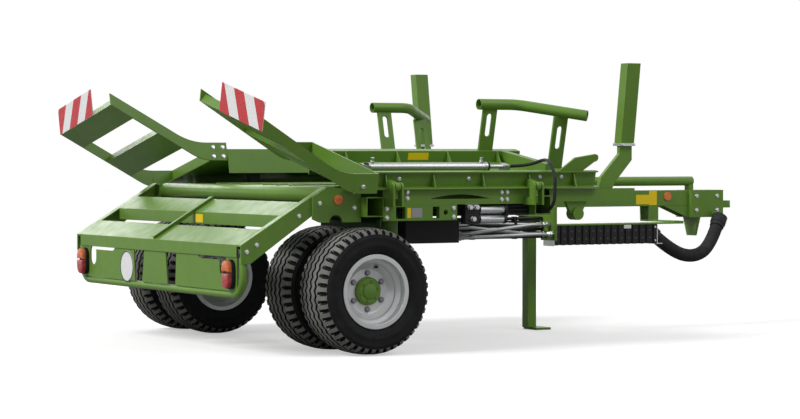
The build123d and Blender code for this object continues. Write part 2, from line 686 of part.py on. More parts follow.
# Rear side plates with the roller's bearings, roller and ramp
with BuildPart() as side_plates:
    plate_top = SIDE_BEAM_Z[1] + SIDE_PLATE_UP
    plate_end = RAMP_TOP_X - SIDE_PLATE_LAP
    with BuildSketch(side_view(-RAMP_HALF_W)):
        outline(
            (REAR_TUBE_REAR, SIDE_PLATE_Z),
            (REAR_TUBE_REAR, SIDE_BEAM_Z[1]),
            (RAMP_TOP_X, plate_top),
            (plate_end, plate_top - SIDE_PLATE_LAP * SLOPE),
            (plate_end, SIDE_PLATE_Z + SIDE_PLATE_CORNER[1]),
            (plate_end + SIDE_PLATE_CORNER[0], SIDE_PLATE_Z),
        )
        with Locations((REAR_TUBE_REAR - ARCH_BACK, SIDE_PLATE_Z)):
            Circle(ARCH_R, mode=Mode.SUBTRACT)
    extrude(amount=SIDE_PLATE_T)
    bearing_y = (-RAMP_HALF_W, -ROLLER_HALF_L - MOVING_GAP)
    with Locations((AXLE_X + ROLLER_X, (bearing_y[0] + bearing_y[1]) / 2, ROLLER_Z)):
        Box(BEARING_SIZE, bearing_y[1] - bearing_y[0], BEARING_SIZE)
    with Locations(Location((AXLE_X + ROLLER_X, bearing_y[1], ROLLER_Z), ALONG_Y)):
        Cylinder(
            JOURNAL_R + RUNNING_GAP, bearing_y[1] - bearing_y[0], align=FROM_START, mode=Mode.SUBTRACT
        )
    mirror(about=Plane.XZ)
save(side_plates, "rear_side_plates")

with BuildPart() as roller:
    with Locations(Location((AXLE_X + ROLLER_X, 0, ROLLER_Z), ALONG_Y)):
        Cylinder(ROLLER_D / 2, 2 * ROLLER_HALF_L)
        Cylinder(JOURNAL_R, 2 * (RAMP_HALF_W - JOURNAL_END))
save(roller, "rear_roller")


def ramp_z(x):
    """Height of the ramp's top line."""
    return DECK_Z - (RAMP_TOP_X - x) * SLOPE


FLANGE_DROP = RAMP_FLANGE_T / cos(radians(RAMP_ANGLE))
with BuildPart() as ramp_rails:
    with BuildSketch(side_view(-RAMP_HALF_W + RAMP_WEB_T)):
        outline(
            (RAMP_TOP_X, DECK_Z),
            (RAMP_END_X, RAMP_END_Z),
            (RAMP_END_X, RAMP_END_Z - RAMP_DEPTH),
            (RAMP_END_X + RAMP_TOE, RAMP_END_Z - RAMP_DEPTH),
            (RAMP_TOP_X, DECK_Z - RAMP_DEPTH),
        )
    extrude(amount=RAMP_WEB_T)
    with BuildSketch(side_view(-RAMP_HALF_W + RAMP_FLANGE_W)):
        outline(
            (RAMP_TOP_X, DECK_Z),
            (RAMP_END_X, RAMP_END_Z),
            (RAMP_END_X, RAMP_END_Z - FLANGE_DROP),
            (RAMP_TOP_X, DECK_Z - FLANGE_DROP),
        )
    extrude(amount=RAMP_FLANGE_W)
    mirror(about=Plane.XZ)
save(ramp_rails, "ramp_rails")

SLAT_HALF_W = RAMP_HALF_W - RAMP_FLANGE_W
SLAT_DROP = SLAT_T / cos(radians(RAMP_ANGLE))
with BuildPart() as slats:
    for front, rear in SLATS:
        with BuildSketch(side_view(SLAT_HALF_W)):
            outline(
                (front, ramp_z(front)),
                (rear, ramp_z(rear)),
                (rear, ramp_z(rear) - SLAT_LIP),
                (rear + SLAT_T, ramp_z(rear) - SLAT_LIP),
                (rear + SLAT_T, ramp_z(rear + SLAT_T) - SLAT_DROP),
                (front, ramp_z(front) - SLAT_DROP),
            )
        extrude(amount=2 * SLAT_HALF_W)
    spine_x = SLATS[0][0]
    with BuildSketch(side_view(SPINE_W / 2)):
        outline(
            (spine_x, ramp_z(spine_x) - SLAT_DROP),
            (RAMP_END_X, RAMP_END_Z - SLAT_DROP),
            (RAMP_END_X, RAMP_END_Z + SPINE_H),
            (spine_x, ramp_z(spine_x) + SPINE_H),
        )
    extrude(amount=SPINE_W)
save(slats, "ramp_slats")

# Underrun tube, lamp plates and lamps
UNDERRUN_X = RAMP_END_X + UNDERRUN_D / 2 + SLAT_T
UNDERRUN_Y = RAMP_HALF_W - RAMP_WEB_T - UNDERRUN_D / 2
UNDERRUN_TOP = RAMP_END_Z - SLAT_LIP
with BuildPart() as underrun:
    with BuildLine() as underrun_line:
        FilletPolyline(
            (AXLE_X + UNDERRUN_X, -UNDERRUN_Y, UNDERRUN_TOP),
            (AXLE_X + UNDERRUN_X, -UNDERRUN_Y, UNDERRUN_Z),
            (AXLE_X + UNDERRUN_X, UNDERRUN_Y, UNDERRUN_Z),
            (AXLE_X + UNDERRUN_X, UNDERRUN_Y, UNDERRUN_TOP),
            radius=UNDERRUN_BEND,
        )
    with BuildSketch(Plane(underrun_line.line @ 0, z_dir=underrun_line.line % 0)):
        Circle(UNDERRUN_D / 2)
    sweep()
save(underrun, "underrun_tube")

PLATE_BOTTOM = UNDERRUN_Z + UNDERRUN_D / 2
PLATE_TOP = RAMP_END_Z - LAMP_PLATE_DROP
PLATE_X = RAMP_END_X + SLAT_T + LAMP_PLATE_T
with BuildPart() as lamp_plates:
    near, far = LAMP_PLATE_Y
    with BuildSketch(rear_view(PLATE_X)) as plate:
        outline((near, PLATE_BOTTOM), (near + PLATE_LEAN, PLATE_TOP), (far, PLATE_TOP), (far, PLATE_BOTTOM))
        fillet(plate.vertices().group_by(Axis.Y)[-1].sort_by(Axis.X)[0], PLATE_CORNER_R)
        with Locations(((near + far) / 2 + PLATE_NOTCH_OUT, PLATE_TOP - LAMP_PLATE_DROP)):
            SlotOverall(*PLATE_NOTCH, mode=Mode.SUBTRACT)
        with Locations((LAMP_Y - PLATE_HOLE_IN, LAMP_Z + PLATE_HOLE_UP)):
            SlotOverall(*PLATE_HOLE, rotation=90, mode=Mode.SUBTRACT)
    extrude(amount=LAMP_PLATE_T)
    mirror(about=Plane.XZ)
    with BuildSketch(rear_view(PLATE_X)):
        outline(
            (-CENTRE_PLATE_HALF, PLATE_BOTTOM),
            (-CENTRE_PLATE_HALF + CENTRE_PLATE_TAPER, PLATE_TOP),
            (CENTRE_PLATE_HALF - CENTRE_PLATE_TAPER, PLATE_TOP),
            (CENTRE_PLATE_HALF, PLATE_BOTTOM),
        )
    extrude(amount=LAMP_PLATE_T)
save(lamp_plates, "lamp_plates")

LENS_FRONT = PLATE_X - LAMP_PLATE_T
with BuildPart() as lamps:
    with BuildSketch(rear_view(LENS_FRONT)):
        with Locations((LAMP_Y, LAMP_Z)):
            SlotOverall(LAMP_SIZE[1], LAMP_SIZE[0], rotation=90)
    extrude(amount=LENS_FRONT + REAR_REACH)
    mirror(about=Plane.XZ)
save(lamps, "tail_lamps")

with BuildPart() as disc:
    with BuildSketch(rear_view(LENS_FRONT)):
        with Locations((-DISC_Y, LAMP_Z - DISC_DROP)):
            Circle(DISC_D / 2)
    extrude(amount=SIGN_T)
save(disc, "rear_disc")

with BuildPart() as reflectors:
    with BuildSketch(side_view(-RAMP_HALF_W - SIDE_PLATE_T)):
        with Locations((ROLLER_X + SIDE_REFLECTOR[0], (SIDE_PLATE_Z + DECK_Z) / 2 + SIDE_REFLECTOR[1])):
            Circle(REFLECTOR_R)
    extrude(amount=REFLECTOR_T)
    mirror(about=Plane.XZ)
save(reflectors, "side_reflectors")

# Hinge ears of the side tables, and the rests that the folded tables lie on
with BuildPart() as ears:
    ear_step = KNUCKLE_W / 2 + MOVING_GAP
    for x in KNUCKLE_X:
        for plate_x in (x + ear_step + EAR_T, x - ear_step):
            with BuildSketch(rear_view(plate_x)):
                with Locations(((SIDE_BEAM_OUT + HINGE_Y + KNUCKLE_R) / 2, (EAR_Z[0] + EAR_Z[1]) / 2)):
                    Rectangle(HINGE_Y + KNUCKLE_R - SIDE_BEAM_OUT, EAR_Z[1] - EAR_Z[0])
                with Locations((HINGE_Y, (EAR_Z[0] + HINGE_Z) / 2)):
                    Rectangle(2 * KNUCKLE_R, HINGE_Z - EAR_Z[0])
                with Locations((HINGE_Y, HINGE_Z)):
                    Circle(KNUCKLE_R)
            extrude(amount=EAR_T)
        with BuildSketch(rear_view(x + ear_step + EAR_T)):
            with Locations((HINGE_Y, HINGE_Z)):
                Circle(HINGE_PIN_R)
        extrude(amount=2 * (ear_step + EAR_T))
    mirror(about=Plane.XZ)
save(ears, "table_hinge_ears")


def table_underside(y):
    """Height of a folded table's lower face at this distance from the centre line."""
    return HINGE_Z + (HINGE_Y - y) * tan(TILT) - WORK_OFFSET / cos(TILT)


with BuildPart() as rests:
    near, far = REST_Y - REST_W / 2, REST_Y + REST_W / 2
    for x in REST_X:
        with BuildSketch(rear_view(x + REST_W / 2)):
            outline(
                (near, DECK_Z),
                (far, DECK_Z),
                (far, table_underside(far) - SEAT_GAP),
                (near, table_underside(near) - SEAT_GAP),
            )
        extrude(amount=REST_W)
    mirror(about=Plane.XZ)
save(rests, "table_rests")

# Front arms with the bosses below them, levers and posts
ARM_TOP = ARM_Z + ARM_SIZE / 2
ARM_BOTTOM = ARM_Z - ARM_SIZE / 2
with BuildPart(FROM_AXLE) as arms:
    arm_y = (-ARM_Y - ARM_SIZE / 2, -ARM_Y + ARM_SIZE / 2)
    tube((FRONT_TUBE_FRONT, ARM_END), arm_y, (ARM_BOTTOM, ARM_TOP), TUBE_WALL)
    boss = (ARM_END - BOSS_BACK, ARM_BOTTOM - BOSS_DROP)
    with BuildSketch(side_view(-ARM_Y + BOSS_PLATE_T / 2)):
        with Locations(boss):
            Circle(BOSS_R)
        outline(
            (boss[0] - BOSS_R, boss[1]),
            (boss[0] + BOSS_R, boss[1]),
            (boss[0] + 2 * BOSS_R, ARM_BOTTOM),
            (boss[0] - 2 * BOSS_R, ARM_BOTTOM),
        )
    extrude(amount=BOSS_PLATE_T)
    with Locations(Location((boss[0], -ARM_Y, boss[1]), ALONG_Y)):
        Cylinder(BOSS_R, ARM_SIZE)
    mirror(about=Plane.XZ)
save(arms, "front_arms")

CAP_BOTTOM = POST_BASE_Z - POST_CAP_T
with BuildPart(FROM_AXLE) as levers:
    foot_bend, head_bend, head_front_bend, foot_front_bend = LEVER_BENDS
    with BuildSketch(side_view(-ARM_Y + LEVER_T / 2)):
        outline(
            (POST_X - LEVER_FOOT[0], ARM_TOP),
            (POST_X - LEVER_FOOT[1], ARM_TOP),
            (POST_X - LEVER_FOOT[1] + LEVER_DRAFT, ARM_TOP + foot_front_bend),
            (POST_X + LEVER_HEAD[1], CAP_BOTTOM - head_front_bend),
            (POST_X + LEVER_HEAD[1], CAP_BOTTOM),
            (POST_X - LEVER_HEAD[0], CAP_BOTTOM),
            (POST_X - LEVER_HEAD[0], CAP_BOTTOM - head_bend),
            (POST_X - LEVER_FOOT[0] + LEVER_DRAFT, ARM_TOP + foot_bend),
        )
    extrude(amount=LEVER_T)
    block(
        (POST_X - POST_SIZE[0] / 2, POST_X + POST_SIZE[0] / 2),
        (-ARM_Y - POST_SIZE[1] / 2, -ARM_Y + POST_SIZE[1] / 2),
        (CAP_BOTTOM, POST_BASE_Z),
    )
    mirror(about=Plane.XZ)
save(levers, "post_levers")

POST_SHIFT = POST_L * tan(radians(POST_LEAN))
with BuildPart() as posts:
    for inset, mode in ((0.0, Mode.ADD), (POST_WALL, Mode.SUBTRACT)):
        half = POST_SIZE[1] / 2 - inset
        with BuildSketch(rear_view(POST_X + POST_SIZE[0] / 2 - inset)):
            outline(
                (ARM_Y - half, POST_BASE_Z),
                (ARM_Y + half, POST_BASE_Z),
                (ARM_Y + half + POST_SHIFT, POST_TOP_Z),
                (ARM_Y - half + POST_SHIFT, POST_TOP_Z),
            )
        extrude(amount=POST_SIZE[0] - 2 * inset, mode=mode)
    mirror(about=Plane.XZ)
save(posts, "front_posts")

# Drawbar sleeve, wear pads and the extension rod's anchor, on the frame
SLEEVE_Z = (BEAM_Z - SLEEVE / 2, BEAM_Z + SLEEVE / 2)
SLEEVE_BORE = SLEEVE - 2 * SLEEVE_WALL
with BuildPart(FROM_AXLE) as sleeve:
    tube(SLEEVE_X, (-SLEEVE / 2, SLEEVE / 2), SLEEVE_Z, SLEEVE_WALL)
save(sleeve, "drawbar_sleeve")

PAD_T = (SLEEVE_BORE - BEAM) / 2 - SEAT_GAP
with BuildPart(FROM_AXLE) as pads:
    pad_x = (SLEEVE_FRONT - PAD_L, SLEEVE_FRONT)
    pad_half = BEAM / 2 - PAD_INSET
    for way in (-1, 1):
        depth = sorted((way * (SLEEVE_BORE / 2 - PAD_T), way * SLEEVE_BORE / 2))
        block(pad_x, depth, (BEAM_Z - pad_half, BEAM_Z + pad_half))
        block(pad_x, (-pad_half, pad_half), (BEAM_Z + depth[0], BEAM_Z + depth[1]))
save(pads, "sleeve_wear_pads")

with BuildPart(FROM_AXLE) as rod:
    half = ROD_ANCHOR / 2
    block((ROD_ANCHOR_X - half, ROD_ANCHOR_X + half), (-half, half), (SLEEVE_Z[1], CYL_Z + ROD_ANCHOR_UP))
    with Locations(Location((ROD_ANCHOR_X, 0, CYL_Z), ALONG_X)):
        Cylinder(ROD_R, ROD_END_X - ROD_ANCHOR_X, align=FROM_START)
save(rod, "extension_rod")

# Telescopic drawbar
BEAM_SPAN = (BEAM_Z - BEAM / 2, BEAM_Z + BEAM / 2)
with BuildPart(FROM_AXLE) as beam:
    tube((BEAM_REAR, HEAD_REAR), (-BEAM / 2, BEAM / 2), BEAM_SPAN, BEAM_WALL)
save(beam, "drawbar_beam")

hose_route = [Vector(AXLE_X + HEAD_REAR + x, y, BEAM_Z + z) for x, y, z in HOSE_ROUTE]
with BuildPart() as head:
    head_y = (-HEAD_BOX_W / 2, HEAD_BOX_W / 2)
    with BuildSketch(side_view(HEAD_BOX_W / 2)):
        outline(
            (HEAD_REAR, HEAD_BOX_Z[0]),
            (HEAD_FRONT, HEAD_BOX_Z[0]),
            (HEAD_FRONT, HEAD_BOX_Z[1]),
            (HEAD_REAR, HEAD_BOX_Z[1]),
        )
    extrude(amount=HEAD_BOX_W)
    with BuildSketch(side_view(HEAD_BOX_W / 2 - HEAD_WALL)):
        outline(
            (HEAD_REAR + HEAD_WALL, HEAD_BOX_Z[0]),
            (HEAD_FRONT - HEAD_WALL, HEAD_BOX_Z[0]),
            (HEAD_FRONT - HEAD_WALL, HEAD_BOX_Z[1] - HEAD_WALL),
            (HEAD_REAR + HEAD_WALL, HEAD_BOX_Z[1] - HEAD_WALL),
        )
    extrude(amount=HEAD_BOX_W - 2 * HEAD_WALL, mode=Mode.SUBTRACT)
    with BuildSketch(rear_view(HEAD_REAR + LUG_AHEAD + LUG_T)):
        outline(
            (head_y[0], HEAD_BOX_Z[0] + LUG_T),
            (head_y[0], HEAD_BOX_Z[0]),
            (-LUG_TOE / 2, HEAD_BOX_Z[0] - LUG_H),
            (LUG_TOE / 2, HEAD_BOX_Z[0] - LUG_H),
            (head_y[1], HEAD_BOX_Z[0]),
            (head_y[1], HEAD_BOX_Z[0] + LUG_T),
        )
    extrude(amount=LUG_T)
    for y in (BEAM / 2, -BEAM / 2 + HEAD_GUSSET_T):
        with BuildSketch(side_view(y)):
            outline(
                (HEAD_REAR - HEAD_GUSSET_L, BEAM_SPAN[0]),
                (HEAD_REAR, BEAM_SPAN[0]),
                (HEAD_REAR, HEAD_BOX_Z[0]),
            )
        extrude(amount=HEAD_GUSSET_T)
    with BuildSketch(Plane.XY.offset(EYE_Z - EYE_T / 2)):
        eye_x = AXLE_X + FRONT_REACH - EYE_R
        with Locations((eye_x, 0)):
            Circle(EYE_R)
        with Locations((eye_x - EYE_NECK / 2, 0)):
            Rectangle(EYE_NECK, 2 * EYE_R)
        with Locations((eye_x, 0)):
            Circle(EYE_BORE_R, mode=Mode.SUBTRACT)
    extrude(amount=EYE_T)
    end = hose_route[-1]
    with Locations(Plane(end, z_dir=(end - hose_route[-2]).normalized())):
        Cylinder(HOSE_D / 2 + GLAND_WALL, GLAND_L, align=FROM_START)
    block(
        (end.X - SOCKET_LAP, end.X - SOCKET_LAP + SOCKET_BLOCK[0]),
        (end.Y + SOCKET_LAP, head_y[0]),
        (HEAD_BOX_Z[0] - SOCKET_LAP, HEAD_BOX_Z[0] - SOCKET_LAP + SOCKET_BLOCK[1]),
    )
save(head, "drawbar_head")

with BuildPart(FROM_AXLE) as barrel:
    length = BARREL_X[1] - BARREL_X[0]
    with Locations(Location((BARREL_X[0], 0, CYL_Z), ALONG_X)):
        Cylinder(BARREL_R, length, align=FROM_START)
        Cylinder(BARREL_BORE_R, length - BARREL_END, align=FROM_START, mode=Mode.SUBTRACT)
        Cylinder(BARREL_R, BARREL_GLAND, align=FROM_START)
        Cylinder(ROD_R + SEAT_GAP, BARREL_GLAND, align=FROM_START, mode=Mode.SUBTRACT)
    block(
        (BARREL_X[1] - BARREL_FOOT[1], BARREL_X[1]),
        (-BARREL_FOOT[0] / 2, BARREL_FOOT[0] / 2),
        (HEAD_BOX_Z[1], CYL_Z - BARREL_BORE_R),
    )
save(barrel, "extension_barrel")

with BuildPart() as drawbar_reflectors:
    with BuildSketch(side_view(-BEAM / 2)):
        with Locations((HEAD_REAR - DRAWBAR_REFLECTOR[0], BEAM_Z + DRAWBAR_REFLECTOR[1])):
            Circle(REFLECTOR_R)
    extrude(amount=REFLECTOR_T)
    mirror(about=Plane.XZ)
save(drawbar_reflectors, "drawbar_reflectors")

# Energy chain on its tray
CHAIN_SIDES = (CHAIN_Y - CHAIN_W / 2, CHAIN_Y + CHAIN_W / 2)
with BuildPart(FROM_AXLE) as tray:
    tray_top = CHAIN_Z[1] + TRAY_T
    arm_top = tray_top + TRAY_T
    arm_x = (TRAY_FRONT - TRAY_ARM_L, TRAY_FRONT)
    block((CHAIN_X[0], TRAY_FRONT), CHAIN_SIDES, (CHAIN_Z[1], tray_top))
    block(arm_x, (CHAIN_SIDES[0], BEAM / 2), (tray_top, arm_top))
    for y in (BEAM / 2, -BEAM / 2 + TRAY_WEB_T):
        with BuildSketch(side_view(y)):
            outline(
                (TRAY_FRONT - TRAY_WEB_L[0], BEAM_SPAN[0]),
                (TRAY_FRONT, BEAM_SPAN[0]),
                (TRAY_FRONT, arm_top),
                (TRAY_FRONT - TRAY_WEB_L[1], arm_top),
            )
        extrude(amount=TRAY_WEB_T)
save(tray, "chain_tray")

LINK = CHAIN_L / CHAIN_LINKS
with BuildPart(FROM_AXLE) as chain:
    block(
        CHAIN_X,
        (CHAIN_SIDES[0] + LINK_GROOVE, CHAIN_SIDES[1] - LINK_GROOVE),
        (CHAIN_Z[0] + LINK_GROOVE, CHAIN_Z[1]),
    )
    with BuildSketch(side_view(CHAIN_SIDES[1])):
        for link in range(CHAIN_LINKS):
            with Locations((CHAIN_X[0] + (link + LINK_SHARE / 2) * LINK, (CHAIN_Z[0] + CHAIN_Z[1]) / 2)):
                RectangleRounded(LINK_SHARE * LINK, CHAIN_Z[1] - CHAIN_Z[0], LINK_ROUND)
    extrude(amount=CHAIN_W)
    block((CHAIN_X[1], CHAIN_X[1] + CHAIN_END_L), CHAIN_SIDES, CHAIN_Z)
    exit_x, exit_y, exit_z = HOSE_ROUTE[0]
    exit_way = (Vector(HOSE_ROUTE[0]) - Vector(HOSE_ROUTE[1])).normalized()
    with Locations(Plane((HEAD_REAR + exit_x, exit_y, BEAM_Z + exit_z), z_dir=exit_way)):
        Cylinder(HOSE_D / 2 + GLAND_WALL, GLAND_L, align=FROM_START)
save(chain, "energy_chain")

# Hose loop from the chain to the socket on the drawbar head
radii = []
for before, point, after in zip(hose_route, hose_route[1:], hose_route[2:]):
    turn = (point - before).get_angle(after - point)
    shorter = min((point - before).length, (after - point).length)
    radii.append(0.45 * shorter / tan(radians(turn / 2)))
print("hose radii in diameters:", [round(radius / HOSE_D, 1) for radius in radii])
with BuildPart() as hose:
    with BuildLine() as hose_line:
        FilletPolyline(*hose_route, radius=radii)
    with BuildSketch(Plane(hose_line.line @ 0, z_dir=hose_line.line % 0)):
        Circle(HOSE_D / 2)
    sweep()
hose_length = sum(edge.length for edge in hose_line.edges())
hose_ratio = hose.part.volume / (hose_length * pi * HOSE_D**2 / 4)
print("hose length", round(hose_length), "volume over section times length", round(hose_ratio, 4))
save(hose, "hose_loop")

# Parking stand
with BuildPart(FROM_AXLE) as stand_bracket:
    inner = STAND_LEG / 2 + MOVING_GAP
    bracket_x = (STAND_X - STAND_PLATE_L / 2, STAND_X + STAND_PLATE_L / 2)
    for way in (-1, 1):
        plate_y = sorted((way * inner, way * (inner + STAND_PLATE_T)))
        block(bracket_x, plate_y, (STAND_Z - STAND_PLATE_BELOW, SLEEVE_Z[0]))
    with Locations(Location((STAND_X, 0, STAND_Z), ALONG_Y)):
        Cylinder(STAND_PIN_R, 2 * (inner + STAND_PLATE_T))
save(stand_bracket, "stand_bracket")

with BuildPart(FROM_AXLE) as stand:
    half = STAND_LEG / 2
    foot_x = STAND_X + FOOT_AHEAD
    block((STAND_X - half, STAND_X + half), (-half, half), (FOOT[2], STAND_Z + half))
    block((foot_x, foot_x + FOOT[0]), (-FOOT[1] / 2, FOOT[1] / 2), (0, FOOT[2]))
    with Locations(Location((STAND_X, 0, STAND_Z), ALONG_Y)):
        Cylinder(STAND_PIN_R + RUNNING_GAP, 2 * STAND_LEG, mode=Mode.SUBTRACT)
save(stand, "parking_stand")

# Hydraulics below the frame
with BuildPart(FROM_AXLE) as valve_box:
    middle = (BOX_X[0] + BOX_X[1]) / 2
    hanger_x = (middle - BOX_HANGER / 2, middle + BOX_HANGER / 2)
    block(BOX_X, (-BOX_HALF_W, BOX_HALF_W), BOX_Z)
    block(hanger_x, (-SLEEVE / 2, SLEEVE / 2), (BOX_Z[1], SLEEVE_Z[0]))
save(valve_box, "valve_box")

with BuildPart(FROM_AXLE) as tank:
    block(TANK_X, (-TANK_HALF_W, TANK_HALF_W), (BOX_Z[0] + TANK_RAISE, BOX_Z[1]))
    fillet(tank.edges().filter_by(Axis.Y), radius=TANK_ROUND)
    block(
        (TANK_X[0] + TANK_ROUND, TANK_X[1] - TANK_ROUND),
        (-SLEEVE / 2, SLEEVE / 2),
        (BOX_Z[1] - SOCKET_LAP, SLEEVE_Z[0]),
    )
save(tank, "oil_tank")

with BuildPart(FROM_AXLE) as filters:
    block_x = (RAIL_END_X + FILTER_AHEAD, RAIL_END_X + FILTER_AHEAD + FILTER_BLOCK)
    block_z = (SIDE_BEAM_Z[0] - FILTER_DROP[1] - FILTER_R, SIDE_BEAM_Z[0])
    block(block_x, (-SIDE_BEAM_OUT, -SIDE_BEAM_OUT + 2 * FILTER_R), block_z)
    for drop in FILTER_DROP:
        filter_start = (block_x[1], -SIDE_BEAM_OUT + FILTER_R, SIDE_BEAM_Z[0] - drop)
        with Locations(Location(filter_start, ALONG_X)):
            Cylinder(FILTER_R, FILTER_L, align=FROM_START)
save(filters, "hydraulic_filters")

LINE_END = BOX_X[1] + LINE_L
with BuildPart() as lines:
    for y, rear_up, front_up in LINE_ROWS:
        with BuildLine(side_view(y)) as line:
            FilletPolyline(
                (BOX_X[1], BOX_Z[0] + rear_up),
                (BOX_X[1] + LINE_RUN, BOX_Z[0] + rear_up),
                (LINE_END - LINE_RUN, BOX_Z[0] + front_up),
                (LINE_END, BOX_Z[0] + front_up),
                radius=LINE_BEND_R,
            )
        with BuildSketch(Plane(line.line @ 0, z_dir=line.line % 0)):
            Circle(LINE_D / 2)
        sweep()
save(lines, "hydraulic_lines")

with BuildPart(FROM_AXLE) as line_bracket:
    plate_x = (LINE_END, LINE_END + LINE_PLATE_T)
    block(plate_x, LINE_PLATE_Y, BOX_Z)
    block(plate_x, (LINE_PLATE_Y[0], -SLEEVE / 2), (BOX_Z[1], SLEEVE_Z[0] + LINE_PLATE_LAP))
save(line_bracket, "line_bracket")

# Side tables
CHANNEL_BOTTOM = PANEL_T - WORK_OFFSET
NOSE_X = TABLE_FRONT + NOSE_L
for side_name, side in SIDES:
    with BuildPart() as panel:
        with BuildSketch(TABLE.offset(-WORK_OFFSET)):
            outline(
                (0, TABLE_NEAR),
                (0, TABLE_FAR),
                (TABLE_CORNER, TABLE_FAR),
                (NOSE_X, TABLE_FAR - (NOSE_X - TABLE_CORNER)),
                (NOSE_X, NOSE_ACROSS),
                (TABLE_FRONT, NOSE_ACROSS - NOSE_L),
                (TABLE_FRONT, TABLE_NEAR),
            )
        extrude(amount=PANEL_T)
        finish_side(side)
    save(panel, f"table_panel_{side_name}")

    with BuildPart(TABLE) as rails:
        web = (HINGE_RAIL_FAR - CHANNEL_T, HINGE_RAIL_FAR)
        block((0, TABLE_FRONT), web, (CHANNEL_BOTTOM, HINGE_RAIL_TOP))
        flange = (web[0] - HINGE_FLANGE_W, HINGE_RAIL_FAR)
        block((0, TABLE_FRONT), flange, (HINGE_RAIL_TOP - CHANNEL_T, HINGE_RAIL_TOP))
        tube((0, TABLE_CORNER), FREE_RAIL, (CHANNEL_BOTTOM, FREE_RAIL_TOP), CHANNEL_T)
        guard_rise = (-WORK_OFFSET - GUARD_H, CHANNEL_BOTTOM + GUARD_LAP)
        block((0, TABLE_CORNER), (FREE_RAIL[1], FREE_RAIL[1] + CHANNEL_T), guard_rise)
        for foot, rows, length, top in (
            (web[0], HINGE_GUSSET_X, HINGE_GUSSET_L, HINGE_RAIL_TOP),
            (FREE_RAIL[0], FREE_GUSSET_X, FREE_GUSSET_L, FREE_RAIL_TOP),
        ):
            for x in rows:
                gusset = Plane(
                    table_point(x, foot, CHANNEL_BOTTOM), x_dir=-TABLE.y_dir, z_dir=-TABLE.x_dir
                )
                with BuildSketch(gusset):
                    outline((0, 0), (length, 0), (0, top - CHANNEL_BOTTOM))
                extrude(amount=GUSSET_T)
        brace_ends = [(TABLE_FRONT - back, across) for back, across in zip(BRACE_BACK, BRACE_ACROSS)]
        with BuildSketch(TABLE.offset(CHANNEL_BOTTOM)):
            with BuildLine():
                brace_line = Line(*brace_ends)
            trace(brace_line, BRACE_W)
        extrude(amount=FREE_RAIL_TOP - CHANNEL_BOTTOM)
        lever_rear = TABLE_FRONT - LEVER_PLATE_L
        lever_top = HINGE_RAIL_TOP + LEVER_PLATE_H
        with BuildSketch(table_edge(HINGE_RAIL_FAR)):
            outline(
                (lever_rear, HINGE_RAIL_TOP),
                (lever_rear + LEVER_PLATE_H, lever_top - LEVER_EYE_R),
                (TABLE_FRONT - LEVER_EYE_R, lever_top),
                (TABLE_FRONT - LEVER_EYE_R, lever_top - 2 * LEVER_EYE_R),
                (TABLE_FRONT - LEVER_PLATE_H, HINGE_RAIL_TOP),
            )
            with Locations((TABLE_FRONT - LEVER_EYE_R, lever_top - LEVER_EYE_R)):
                Circle(LEVER_EYE_R)
        extrude(amount=LEVER_PLATE_T)
        for x in KNUCKLE_X:
            knuckle = Plane(table_point(x - KNUCKLE_W / 2, 0, 0), x_dir=TABLE.y_dir, z_dir=TABLE.x_dir)
            with BuildSketch(knuckle):
                Circle(KNUCKLE_R)
                with Locations((web[0] / 2, 0)):
                    Rectangle(web[0], 2 * (WORK_OFFSET - PANEL_T))
                Circle(HINGE_PIN_R + RUNNING_GAP, mode=Mode.SUBTRACT)
            extrude(amount=KNUCKLE_W)
        finish_side(side)
    save(rails, f"table_rails_{side_name}")

    with BuildPart() as ramp:
        work_corner = TIP_X + (TIP_RISE + WORK_OFFSET) / SLOPE
        back_corner = TIP_X + (TIP_RISE + TIP_DEPTH - ROOT_DEPTH) / SLOPE
        for near in (RAMP_SIDE[0], RAMP_SIDE[1] - RAMP_SIDE_T):
            with BuildSketch(table_edge(near + RAMP_SIDE_T)):
                with BuildLine():
                    work_line = FilletPolyline(
                        (0, -WORK_OFFSET), (work_corner, -WORK_OFFSET), (TIP_X, TIP_RISE), radius=WORK_BEND_R
                    )
                    back_line = FilletPolyline(
                        (0, ROOT_DEPTH),
                        (back_corner, ROOT_DEPTH),
                        (TIP_X, TIP_RISE + TIP_DEPTH),
                        radius=BACK_BEND_R,
                    )
                    Line(work_line @ 0, back_line @ 0)
                    Line(work_line @ 1, back_line @ 1)
                make_face()
            extrude(amount=RAMP_SIDE_T)
        inner_span = RAMP_SIDE[1] - RAMP_SIDE[0] - 2 * RAMP_SIDE_T
        with BuildSketch(table_edge(RAMP_SIDE[1] - RAMP_SIDE_T)):
            for low, high in CROSS_PLATES:
                with Locations((TIP_X, TIP_RISE)):
                    with Locations(Location((0, 0, 0), (0, 0, -RAMP_ANGLE))):
                        with Locations(((low + high) / 2, RAMP_SHEET / 2)):
                            Rectangle(high - low, RAMP_SHEET)
                        with Locations((low + RAMP_SHEET / 2, RAMP_LIP / 2)):
                            Rectangle(RAMP_SHEET, RAMP_LIP)
            with Locations((-RAMP_SHEET / 2, (ROOT_DEPTH - WORK_OFFSET) / 2)):
                Rectangle(RAMP_SHEET, ROOT_DEPTH + WORK_OFFSET)
            with Locations((work_corner / 3, -WORK_OFFSET + RAMP_SHEET / 2)):
                Rectangle(-2 * work_corner / 3, RAMP_SHEET)
        extrude(amount=inner_span)
        finish_side(side)
    save(ramp, f"table_ramp_{side_name}")

    with BuildPart(TABLE) as board:
        block(
            (TIP_X - BOARD_T, TIP_X),
            (RAMP_SIDE[0], RAMP_SIDE[0] + BOARD_W),
            (TIP_RISE, TIP_RISE + BOARD_H),
        )
        finish_side(side)
    save(board, f"warning_board_{side_name}")

